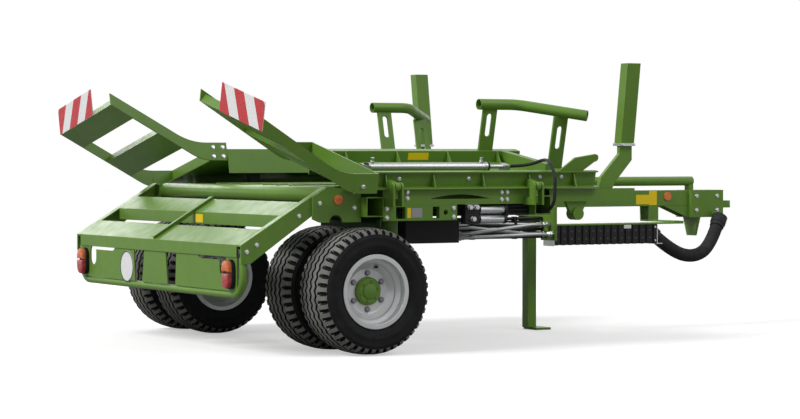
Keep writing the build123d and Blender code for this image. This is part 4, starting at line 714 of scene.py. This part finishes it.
def slot_outline(half_w, half_h, low=None, high=None, steps=10):
    """An upright slot, or the part of it between two heights."""
    points = []
    straight = half_h - half_w
    for centre, start in ((straight, 0.0), (-straight, pi)):
        for step in range(steps + 1):
            angle = start + pi * step / steps
            points.append((half_w * cos(angle), centre + half_w * sin(angle)))
    if low is not None:
        points = [(x, max(y, low)) for x, y in points]
    if high is not None:
        points = [(x, min(y, high)) for x, y in points]
    kept = []
    for point in points:
        if not kept or abs(point[0] - kept[-1][0]) + abs(point[1] - kept[-1][1]) > TINY:
            kept.append(point)
    return kept


def add_lens(bm, outline, steps, matrix):
    """A lens that narrows towards its face in steps of (height, inset)."""
    middle_x = sum(x for x, _ in outline) / len(outline)
    middle_y = sum(y for _, y in outline) / len(outline)
    rings = []
    for height, inset in steps:
        ring = []
        for x, y in outline:
            away = Vector((x - middle_x, y - middle_y))
            moved = away * max(0.0, 1 - inset / max(away.length, TINY))
            ring.append(bm.verts.new(matrix @ Vector((middle_x + moved.x, middle_y + moved.y, height))))
        rings.append(ring)
    join_rings(bm, rings)


def rear_side(x, y, z):
    """A frame on a face that looks backwards: its X runs to the right and its Y up."""
    return Matrix(((0, 0, -1, x), (-1, 0, 0, y), (0, 1, 0, z), (0, 0, 0, 1)))


LAMP_DEPTH = LAMP_HIGH[0] - LAMP_LOW[0]
BASE_STEPS = ((0.0, 0.0), (0.024, 0.0), (0.026, 0.002))
LENS_STEPS = ((0.024, 0.004), (0.040, 0.004), (0.047, 0.007), (LAMP_DEPTH, 0.016))
for name, material, low, high, steps in (
    ("lamp_bases", black, None, None, BASE_STEPS),
    ("red_lenses", red_lens, None, LAMP_SPLIT - LENS_GAP, LENS_STEPS),
    ("amber_lenses", amber_lens, LAMP_SPLIT + LENS_GAP, None, LENS_STEPS),
):
    lamp_bm = bmesh.new()
    for way in WAYS:
        rearward = rear_side(LAMP_HIGH[0], way * LAMP_Y, LAMP_Z)
        add_lens(lamp_bm, slot_outline(*LAMP_HALF, low, high), steps, rearward)
    lamp_piece = finish_piece(name, lamp_bm, material, "chassis", angle=LENS_SHARP)
    if name == "red_lenses":
        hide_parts("tail_lamps")

# Black edge of the blank disc at the rear
disc_low, disc_high = (Vector(corner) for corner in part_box("rear_disc"))
disc_middle = (disc_low + disc_high) / 2
disc_middle.x = disc_low.x
DISC_R = (disc_high.z - disc_low.z) / 2
RING_STEPS = 56
RING_INSETS = (0.001, 0.008)        # from the disc's rim to the ring's outer and inner edge
RING_T = 0.0008
ring_bm = bmesh.new()
ring_points = []
for inset in RING_INSETS:
    radius = DISC_R - inset
    for depth in (0.0, -RING_T):
        places = [Vector((depth, radius * x, radius * y)) for x, y in circle(RING_STEPS)]
        ring_points.append([ring_bm.verts.new(disc_middle + place) for place in places])
for first, second in ((0, 1), (1, 3), (3, 2), (2, 0)):
    for step in range(RING_STEPS):
        after = (step + 1) % RING_STEPS
        inner, outer = ring_points[first], ring_points[second]
        ring_bm.faces.new((inner[step], inner[after], outer[after], outer[step]))
finish_piece("disc_edge", ring_bm, black, "chassis")

# Bolts that show on the frame, ramps, tables and drawbar
SIDE_PLATE_FACE = 1.232
SIDE_BEAM_FACE = 1.290
RAMP_RAIL_FACE = 1.216
HEAD_FACE = 0.090
SIDE_PLATE_BOLTS = ((-0.055, 0.975), (-0.055, 0.875), (-0.290, 0.905))
SIDE_BEAM_BOLTS = (
    (0.278, 0.968), (0.278, 0.930), (0.950, 0.962), (0.990, 0.962),
    (0.950, 0.918), (0.990, 0.918), (0.135, 0.868), (0.135, 0.815), (0.604, 0.868), (0.604, 0.815),
)
RAMP_BOLTS = ((-0.765, 0.625), (-0.700, 0.665), (-0.420, 0.830))
HEAD_BOLTS = ((3.350, 0.900), (3.350, 0.800), (3.530, 0.900), (3.530, 0.800))
HEAD_BOLT_SIZE = 0.014
side_rows = []
ramp_rows = []
head_rows = []
for way in WAYS:
    out = (0, way, 0)
    side_rows += [(at(x, way * SIDE_PLATE_FACE, z), out) for x, z in SIDE_PLATE_BOLTS]
    side_rows += [(at(x, way * SIDE_BEAM_FACE, z), out) for x, z in SIDE_BEAM_BOLTS]
    ramp_rows += [(at(x, way * RAMP_RAIL_FACE, z), out) for x, z in RAMP_BOLTS]
    head_rows += [(at(x, way * HEAD_FACE, z), out) for x, z in HEAD_BOLTS]
bolts("frame_bolts", "chassis", BOLT_SIZE, side_rows)
bolts("ramp_bolts", "chassis", BOLT_SIZE, ramp_rows)
bolts("head_bolts", "drawbar", HEAD_BOLT_SIZE, head_rows)

RAMP_OUTER = -0.035         # across the table
RAMP_INNER = 0.820
RAIL_WEB_FACE = 0.114
ROOT_OUTER_BOLTS = ((-0.100, 0.012),)
ROOT_INNER_BOLTS = ((-0.030, 0.058), (-0.100, 0.058), (-0.030, -0.004), (-0.100, -0.004))
WEB_BOLTS = ((0.230, 0.022), (0.720, 0.022), (1.240, 0.030), (1.400, 0.030))
for side_name, side in SIDES:
    place = table_frame(side)
    inward = (place.to_3x3() @ Vector((0, 1, 0))).normalized()
    rows = [(place @ Vector((x, RAMP_OUTER, rise)), -inward) for x, rise in ROOT_OUTER_BOLTS]
    rows += [(place @ Vector((x, RAMP_INNER, rise)), inward) for x, rise in ROOT_INNER_BOLTS]
    rows += [(place @ Vector((x, RAIL_WEB_FACE, rise)), -inward) for x, rise in WEB_BOLTS]
    bolts(f"table_bolts_{side_name}", f"table_{side_name}", BOLT_SIZE, rows)

# Plain yellow and grey patches
PATCH_T = 0.0010
THIN_PATCH_T = 0.0002       # goes into the sleeve with the drawbar
PATCH_EDGE = 0.0003


def patch(name, material, body, rows, thickness=PATCH_T):
    """Flat patches from rows of (matrix, half length, half height)."""
    bm = bmesh.new()
    for matrix, half_x, half_y in rows:
        outline = ((-half_x, -half_y), (half_x, -half_y), (half_x, half_y), (-half_x, half_y))
        add_prism(bm, outline, 0.0, thickness, matrix)
    return finish_piece(name, bm, material, body, edge=min(PATCH_EDGE, thickness / 3))


def right_side(x, y, z):
    """A frame on a face that looks to the right: its X runs forward and its Y up."""
    return Matrix(((1, 0, 0, AXLE_X + x), (0, 0, -1, y), (0, 1, 0, z), (0, 0, 0, 1)))


FRAME_PATCHES = (           # name, sheet, X, height, half length, half height
    ("frame_patch_yellow", yellow, 0.290, 0.842, 0.013, 0.030),
    ("frame_patch_grey", grey_sheet, 0.345, 0.842, 0.036, 0.028),
)
for name, material, x, z, half_x, half_y in FRAME_PATCHES:
    patch(name, material, "chassis", [(right_side(x, -SIDE_BEAM_FACE, z), half_x, half_y)])
BEAM_FACE = -0.055
BEAM_PATCHES = (            # X, height, half length, half height
    (2.908, 0.8785, 0.056, 0.033),
    (2.997, 0.889, 0.033, 0.050),
)
rows = [(right_side(x, BEAM_FACE, z), half_x, half_y) for x, z, half_x, half_y in BEAM_PATCHES]
patch("drawbar_patch", yellow, "drawbar", rows, thickness=THIN_PATCH_T)
RAIL_PATCH = (0.737, 0.758, 0.012)      # X, across and rise on the table's free rail
RAIL_PATCH_HALF = (0.075, 0.023)
rail_face = Matrix.Translation(RAIL_PATCH) @ Matrix.Rotation(radians(90.0), 4, "X")
patch("table_patch", yellow, "table_right", [(table_frame(-1.0) @ rail_face, *RAIL_PATCH_HALF)])
SLAT_PATCH = (-0.522, -0.075, 0.794)
SLAT_PATCH_HALF = (0.052, 0.026)
patch("slat_patch", yellow, "chassis", [(rear_side(*at(*SLAT_PATCH)), *SLAT_PATCH_HALF)])

# Flat strip on the ramp's spine, in a frame that runs up the slope from the ramp's end
RAMP_END = Vector((-0.803, 0.0, 0.6653))
RAMP_TOP = Vector((-0.246, 0.0, 1.0))
SPINE_UP = 0.0154           # top of the spine above the slope
STRIP_ALONG = (0.002, 0.478)
STRIP_HALF = 0.018
STRIP_SUNK = 0.001
STRIP_PROUD = 0.004
up_slope = (RAMP_TOP - RAMP_END).normalized()
off_slope = Vector((-up_slope.z, 0, up_slope.x))
slope = Matrix.Translation(at(*RAMP_END)) @ Matrix((up_slope, (0, 1, 0), off_slope)).transposed().to_4x4()
strip_bm = bmesh.new()
strip_low = (STRIP_ALONG[0], -STRIP_HALF, SPINE_UP - STRIP_SUNK)
strip_high = (STRIP_ALONG[1], STRIP_HALF, SPINE_UP + STRIP_PROUD)
add_box(strip_bm, strip_low, strip_high, slope)
finish_piece("ramp_strip", strip_bm, green, "chassis", edge=SMALL_EDGE)

# Zinc plates at the feet of the front posts
POST_FOOT = (1.906, 1.240, 1.2565)
FOOT_BOX = ((-0.056, -0.044, -0.0085), (0.056, 0.044, 0.0080))
FOOT_FACE = FOOT_BOX[1][1]
FOOT_BOLT_X = (-0.042, 0.042)
foot_bm = bmesh.new()
for way in WAYS:
    middle = at(POST_FOOT[0], way * POST_FOOT[1], POST_FOOT[2])
    add_box(foot_bm, *FOOT_BOX, Matrix.Translation(middle))
    for x in FOOT_BOLT_X:
        add_bolt(foot_bm, middle + Vector((x, way * FOOT_FACE, 0)), (0, way, 0), SMALL_BOLT_SIZE)
finish_piece("post_feet", foot_bm, zinc, "chassis", edge=SMALL_EDGE, angle=FACETED)

# Filter head with its rings, and the fittings of filters and lines
FILTER_BLOCK = ((0.6885, -1.2915, 0.7695), (0.7865, -1.2345, 0.8890))
FILTER_Y = -1.263
FILTER_Z = (0.856, 0.798)
FILTER_RINGS = ((0.787, 0.016), (0.972, 0.024))     # X, length
FILTER_RING_R = (0.0275, 0.0292)
FILTER_RING_RUN = 0.001
FITTING_PLACES = ((0.712, 0.872), (0.757, 0.872), (0.735, 0.800))
block_bm = bmesh.new()
add_box(block_bm, at(*FILTER_BLOCK[0]), at(*FILTER_BLOCK[1]))
for z in FILTER_Z:
    for x, length in FILTER_RINGS:
        ring = ring_profile(*FILTER_RING_R, length, FILTER_RING_RUN)
        add_turned(block_bm, ring, facing(at(x, FILTER_Y, z), (1, 0, 0)), steps=28)
finish_piece("filter_head", block_bm, black, "chassis", edge=SMALL_EDGE)
fitting_bm = bmesh.new()
FITTING = ((0.016, 0.0), (0.016, 0.010), (0.012, 0.011), (0.012, 0.020), (0.015, 0.021), (0.015, 0.032))
for x, z in FITTING_PLACES:
    add_turned(fitting_bm, FITTING, facing(at(x, FILTER_BLOCK[0][1], z), (0, -1, 0)), steps=6)
LINE_ENDS = (               # Y, height at the valve box and at the bracket
    (-0.405, 0.747, 0.731),
    (-0.445, 0.717, 0.669),
    (-0.485, 0.681, 0.731),
    (-0.525, 0.655, 0.669),
)
LINE_FITTING = ((0.013, 0.0), (0.021, 0.001), (0.021, 0.026), (0.016, 0.028), (0.016, 0.050), (0.0125, 0.052))
LINE_X = (1.1, 1.84)
for y, rear_z, front_z in LINE_ENDS:
    add_turned(fitting_bm, LINE_FITTING, facing(at(LINE_X[0], y, rear_z), (1, 0, 0)), steps=6)
    add_turned(fitting_bm, LINE_FITTING, facing(at(LINE_X[1], y, front_z), (-1, 0, 0)), steps=6)
finish_piece("line_fittings", fitting_bm, zinc, "chassis", angle=FACETED)

# Pipes and clamps behind the side rails and from the valve box to the line bracket
PIPE_X = (0.108, 1.192)
PIPE_Y = 1.222
PIPE_Z = (0.829, 0.853, 0.877)
PIPE_R = 0.0113
CLAMP_X = (0.30, 0.62, 1.02)
CLAMP_BOX = ((-0.012, -0.018, 0.812), (0.012, 0.018, 0.8905))
CLAMP_BOLT = Vector((0, 0, 0.813))
pipe_bm = bmesh.new()
clamp_bm = bmesh.new()
for way in WAYS:
    for z in PIPE_Z:
        add_sweep(pipe_bm, [at(x, way * PIPE_Y, z) for x in PIPE_X], PIPE_R)
    for x in CLAMP_X:
        middle = at(x, way * PIPE_Y, 0)
        add_box(clamp_bm, *CLAMP_BOX, Matrix.Translation(middle))
        add_bolt(clamp_bm, middle + CLAMP_BOLT, (0, 0, -1), SMALL_BOLT_SIZE)
VALVE_PIPE_X = (1.098, 1.842)
VALVE_PIPE_Y = -0.398
VALVE_PIPE_Z = (0.650, 0.674, 0.698, 0.722, 0.746, 0.770)
VALVE_CLAMP_X = (1.290, 1.620)
VALVE_CLAMP_HALF = (0.012, 0.019)
VALVE_CLAMP_Z = (0.636, 0.784)
for z in VALVE_PIPE_Z:
    add_sweep(pipe_bm, [at(x, VALVE_PIPE_Y, z) for x in VALVE_PIPE_X], PIPE_R)
for x in VALVE_CLAMP_X:
    half_x, half_y = VALVE_CLAMP_HALF
    clamp_low = at(x - half_x, VALVE_PIPE_Y - half_y, VALVE_CLAMP_Z[0])
    clamp_high = at(x + half_x, VALVE_PIPE_Y + half_y, VALVE_CLAMP_Z[1])
    add_box(clamp_bm, clamp_low, clamp_high)
finish_piece("side_pipes", pipe_bm, black, "chassis")
finish_piece("side_clamps", clamp_bm, black, "chassis", edge=SMALL_EDGE, angle=FACETED)

# Hoses of the table cylinders, over the hinge into the open end of the front cross tube
SMALL_HOSE_D = 0.021
TABLE_HOSE = (                       # in the table's frame: X, across, rise
    (1.190, 0.430, 0.023),
    (1.285, 0.430, 0.025),
    (1.355, 0.385, 0.048),
    (1.368, 0.290, 0.098),
    (1.325, 0.170, 0.122),
    (1.278, 0.060, 0.116),
    (1.256, -0.032, 0.066),
)
FRAME_HOSE = (                       # X, distance from the middle, height
    (1.250, 1.430, 0.990),
    (1.250, 1.428, 0.905),
    (1.250, 1.374, 0.850),
    (1.250, 1.285, 0.843),
    (1.250, 1.190, 0.843),
)
HINGE_CROSSING = ((1.300, 1.300, 1.150), (1.250, 1.360, 0.930))     # start and end of the hinge crossing
for side_name, side in SIDES:
    place = table_frame(side)
    points = [place @ Vector(point) for point in TABLE_HOSE]
    points += [at(x, side * y, z) for x, y, z in FRAME_HOSE]
    line, length = even_line(smooth_line(points), SMALL_HOSE_D / 3)
    hose_bm = bmesh.new()
    add_sweep(hose_bm, line, SMALL_HOSE_D / 2, steps=16)
    hose_name = f"table_hose_{side_name}"
    table_hose = finish_piece(hose_name, hose_bm, hose_rubber, None, angle=SMOOTH)
    start, end = (at(x, side * y, z) for x, y, z in HINGE_CROSSING)
    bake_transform(table_hose)

# Seals and ports of the table cylinders
CYLINDER_ACROSS = 0.430
CYLINDER_RISE = 0.023
SEALS = ((0.168, 0.018, 0.0265), (1.040, 0.016, 0.0300))       # X, length, radius
SEAL_RUN = 0.002
PORT_X = (0.215, 1.000)
PORT_UP = 0.023             # above the cylinder's axis
PORT = ((0.014, 0.0), (0.014, 0.012), (0.010, 0.013), (0.010, 0.022), (0.0125, 0.023), (0.0125, 0.034))
for side_name, side in SIDES:
    place = table_frame(side)
    rise = place.to_3x3() @ Vector((0, 0, 1))
    seal_bm = bmesh.new()
    port_bm = bmesh.new()
    for x, length, radius in SEALS:
        ring = ring_profile(radius - SEAL_RUN, radius, length, SEAL_RUN)
        foot = place @ Vector((x, CYLINDER_ACROSS, CYLINDER_RISE))
        add_turned(seal_bm, ring, facing(foot, (1, 0, 0)), steps=28)
    for x in PORT_X:
        foot = place @ Vector((x, CYLINDER_ACROSS, CYLINDER_RISE + PORT_UP))
        add_turned(port_bm, PORT, facing(foot, rise), steps=6)
    body = f"table_{side_name}"
    finish_piece(f"cylinder_seals_{side_name}", seal_bm, black, body)
    finish_piece(f"cylinder_ports_{side_name}", port_bm, zinc, body, angle=FACETED)

# Pins and end plates of the energy chain, with the plates' bolts and a small plate on its side
CHAIN_LOW, CHAIN_HIGH = (Vector(corner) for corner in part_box("energy_chain"))
CHAIN_LINKS = 14
CHAIN_X = (1.970, 2.790)
PIN_R = 0.0075
PIN = ((PIN_R, -0.001), (PIN_R, 0.0014), (0.7 * PIN_R, 0.002))
PIN_Z = (0.624, 0.676)
PIN_ALONG = 0.42            # share of the link
pin_bm = bmesh.new()
link = (CHAIN_X[1] - CHAIN_X[0]) / CHAIN_LINKS
for face, way in ((CHAIN_LOW.y, -1.0), (CHAIN_HIGH.y, 1.0)):
    for number in range(CHAIN_LINKS):
        for z in PIN_Z:
            foot = at(CHAIN_X[0] + (number + PIN_ALONG) * link, face, z)
            add_turned(pin_bm, PIN, facing(foot, (0, way, 0)), steps=14)
finish_piece("chain_pins", pin_bm, pin_grey, "drawbar")
plate_bm = bmesh.new()
PLATE_PROUD = 0.004
PLATE_Y = (CHAIN_LOW.y - PLATE_PROUD, CHAIN_HIGH.y + PLATE_PROUD)
END_PLATES = (                       # X from and to, height from and to
    (2.815, 2.821, 0.580, 0.716),
    (2.821, 2.862, 0.580, 0.586),
    (1.963, 1.970, 0.580, 0.716),
)
PLATE_BOLTS = ((2.803, 0.604), (2.803, 0.696))
PLATE_BOLT_SIZE = 0.007
PLATE_EDGE = 0.0008
CHAIN_PLATE_X = (2.540, 2.600)
CHAIN_PLATE_Z = (0.690, 0.714)
CHAIN_PLATE_T = 0.002
for x0, x1, z0, z1 in END_PLATES:
    add_box(plate_bm, at(x0, PLATE_Y[0], z0), at(x1, PLATE_Y[1], z1))
plate_low = at(CHAIN_PLATE_X[0], CHAIN_LOW.y - CHAIN_PLATE_T, CHAIN_PLATE_Z[0])
plate_high = at(CHAIN_PLATE_X[1], CHAIN_LOW.y, CHAIN_PLATE_Z[1])
add_box(plate_bm, plate_low, plate_high)
for x, z in PLATE_BOLTS:
    add_bolt(plate_bm, at(x, CHAIN_LOW.y, z), (0, -1, 0), PLATE_BOLT_SIZE)
finish_piece("chain_end_plates", plate_bm, zinc, "drawbar", edge=PLATE_EDGE, angle=FACETED)

# Rubber boot over the socket of the hose loop
boot_bm = bmesh.new()
boot_way = (route[-1] - route[-2]).normalized()
BOOT = (
    (0.0455, -0.030), (0.0500, -0.026), (0.0500, -0.004), (0.0548, 0.000), (0.0548, 0.058), (0.0530, 0.0605),
)
add_turned(boot_bm, BOOT, facing(route[-1], boot_way), steps=36)
finish_piece("hose_boot", boot_bm, hose_rubber, "drawbar")

# Floor and studio light
FLOOR_HALF = 60.0
FLOOR_T = 0.02
FLOOR_GLOW = 0.48           # added for the camera alone
FLOOR_BOUNCE = 0.30         # how pale the floor is for other rays
FLOOR_SEEN = 0.62           # how pale it is for the camera
SKY_LIGHT = 0.36            # the white background's strength as a light
SUN_FROM = Vector((-0.95, 0.05, 0.75))
SUN_POWER = 2.4
SUN_WIDTH = radians(24.0)
WHITE = (1.0, 1.0, 1.0, 1.0)
floor_bm = bmesh.new()
add_box(floor_bm, (-FLOOR_HALF, -FLOOR_HALF, -FLOOR_T), (FLOOR_HALF, FLOOR_HALF, 0.0))
floor_mesh = bpy.data.meshes.new("floor")
floor_bm.to_mesh(floor_mesh)
floor_bm.free()
floor = bpy.data.objects.new("floor", floor_mesh)
bpy.context.scene.collection.objects.link(floor)
floor_material = bpy.data.materials.new("floor")
floor_material.use_nodes = True
tree = floor_material.node_tree
tree.nodes.clear()
output = tree.nodes.new("ShaderNodeOutputMaterial")
matte = tree.nodes.new("ShaderNodeBsdfDiffuse")
glow = tree.nodes.new("ShaderNodeEmission")
glow.inputs["Color"].default_value = WHITE
rays = tree.nodes.new("ShaderNodeLightPath")
lift = tree.nodes.new("ShaderNodeMath")
lift.operation = "MULTIPLY"
lift.inputs[1].default_value = FLOOR_GLOW
tree.links.new(rays.outputs["Is Camera Ray"], lift.inputs[0])
shade_depth = tree.nodes.new("ShaderNodeMapRange")
shade_depth.inputs["To Min"].default_value = FLOOR_BOUNCE
shade_depth.inputs["To Max"].default_value = FLOOR_SEEN
tree.links.new(rays.outputs["Is Camera Ray"], shade_depth.inputs["Value"])
tree.links.new(shade_depth.outputs["Result"], matte.inputs["Color"])
tree.links.new(lift.outputs[0], glow.inputs["Strength"])
both = tree.nodes.new("ShaderNodeAddShader")
tree.links.new(matte.outputs[0], both.inputs[0])
tree.links.new(glow.outputs[0], both.inputs[1])
tree.links.new(both.outputs[0], output.inputs["Surface"])
floor_mesh.materials.append(floor_material)

world = bpy.data.worlds.new("studio")
bpy.context.scene.world = world
world.use_nodes = True
tree = world.node_tree
background = tree.nodes["Background"]
background.inputs["Color"].default_value = WHITE
rays = tree.nodes.new("ShaderNodeLightPath")
seen = None
for name in ("Is Glossy Ray", "Is Transmission Ray"):
    higher = tree.nodes.new("ShaderNodeMath")
    higher.operation = "MAXIMUM"
    tree.links.new(seen if seen else rays.outputs["Is Camera Ray"], higher.inputs[0])
    tree.links.new(rays.outputs[name], higher.inputs[1])
    seen = higher.outputs[0]
strength = tree.nodes.new("ShaderNodeMapRange")
strength.inputs["To Min"].default_value = SKY_LIGHT
strength.inputs["To Max"].default_value = 1.0
tree.links.new(seen, strength.inputs["Value"])
tree.links.new(strength.outputs["Result"], background.inputs["Strength"])

sun_data = bpy.data.lights.new("sun", "SUN")
sun_data.energy = SUN_POWER
sun_data.angle = SUN_WIDTH
sun = bpy.data.objects.new("sun", sun_data)
sun.rotation_euler = SUN_FROM.to_track_quat("Z", "Y").to_euler()
bpy.context.scene.collection.objects.link(sun)

SOFTBOXES = (               # place from the axle, width, height, power
    ((1.5, 9.0, 4.9), 8.0, 3.6, 250.0),
    ((4.6, -7.8, 8.0), 8.0, 3.0, 310.0),
)
SOFTBOX_AIM = at(0.5, 0.0, 0.9)
for number, (place, width, height, power) in enumerate(SOFTBOXES):
    softbox_data = bpy.data.lights.new(f"softbox {number}", "AREA")
    softbox_data.shape = "RECTANGLE"
    softbox_data.size = width
    softbox_data.size_y = height
    softbox_data.energy = power
    softbox = bpy.data.objects.new(f"softbox {number}", softbox_data)
    softbox.location = at(*place)
    softbox.rotation_euler = (at(*place) - SOFTBOX_AIM).to_track_quat("Z", "Y").to_euler()
    softbox.visible_camera = False
    bpy.context.scene.collection.objects.link(softbox)
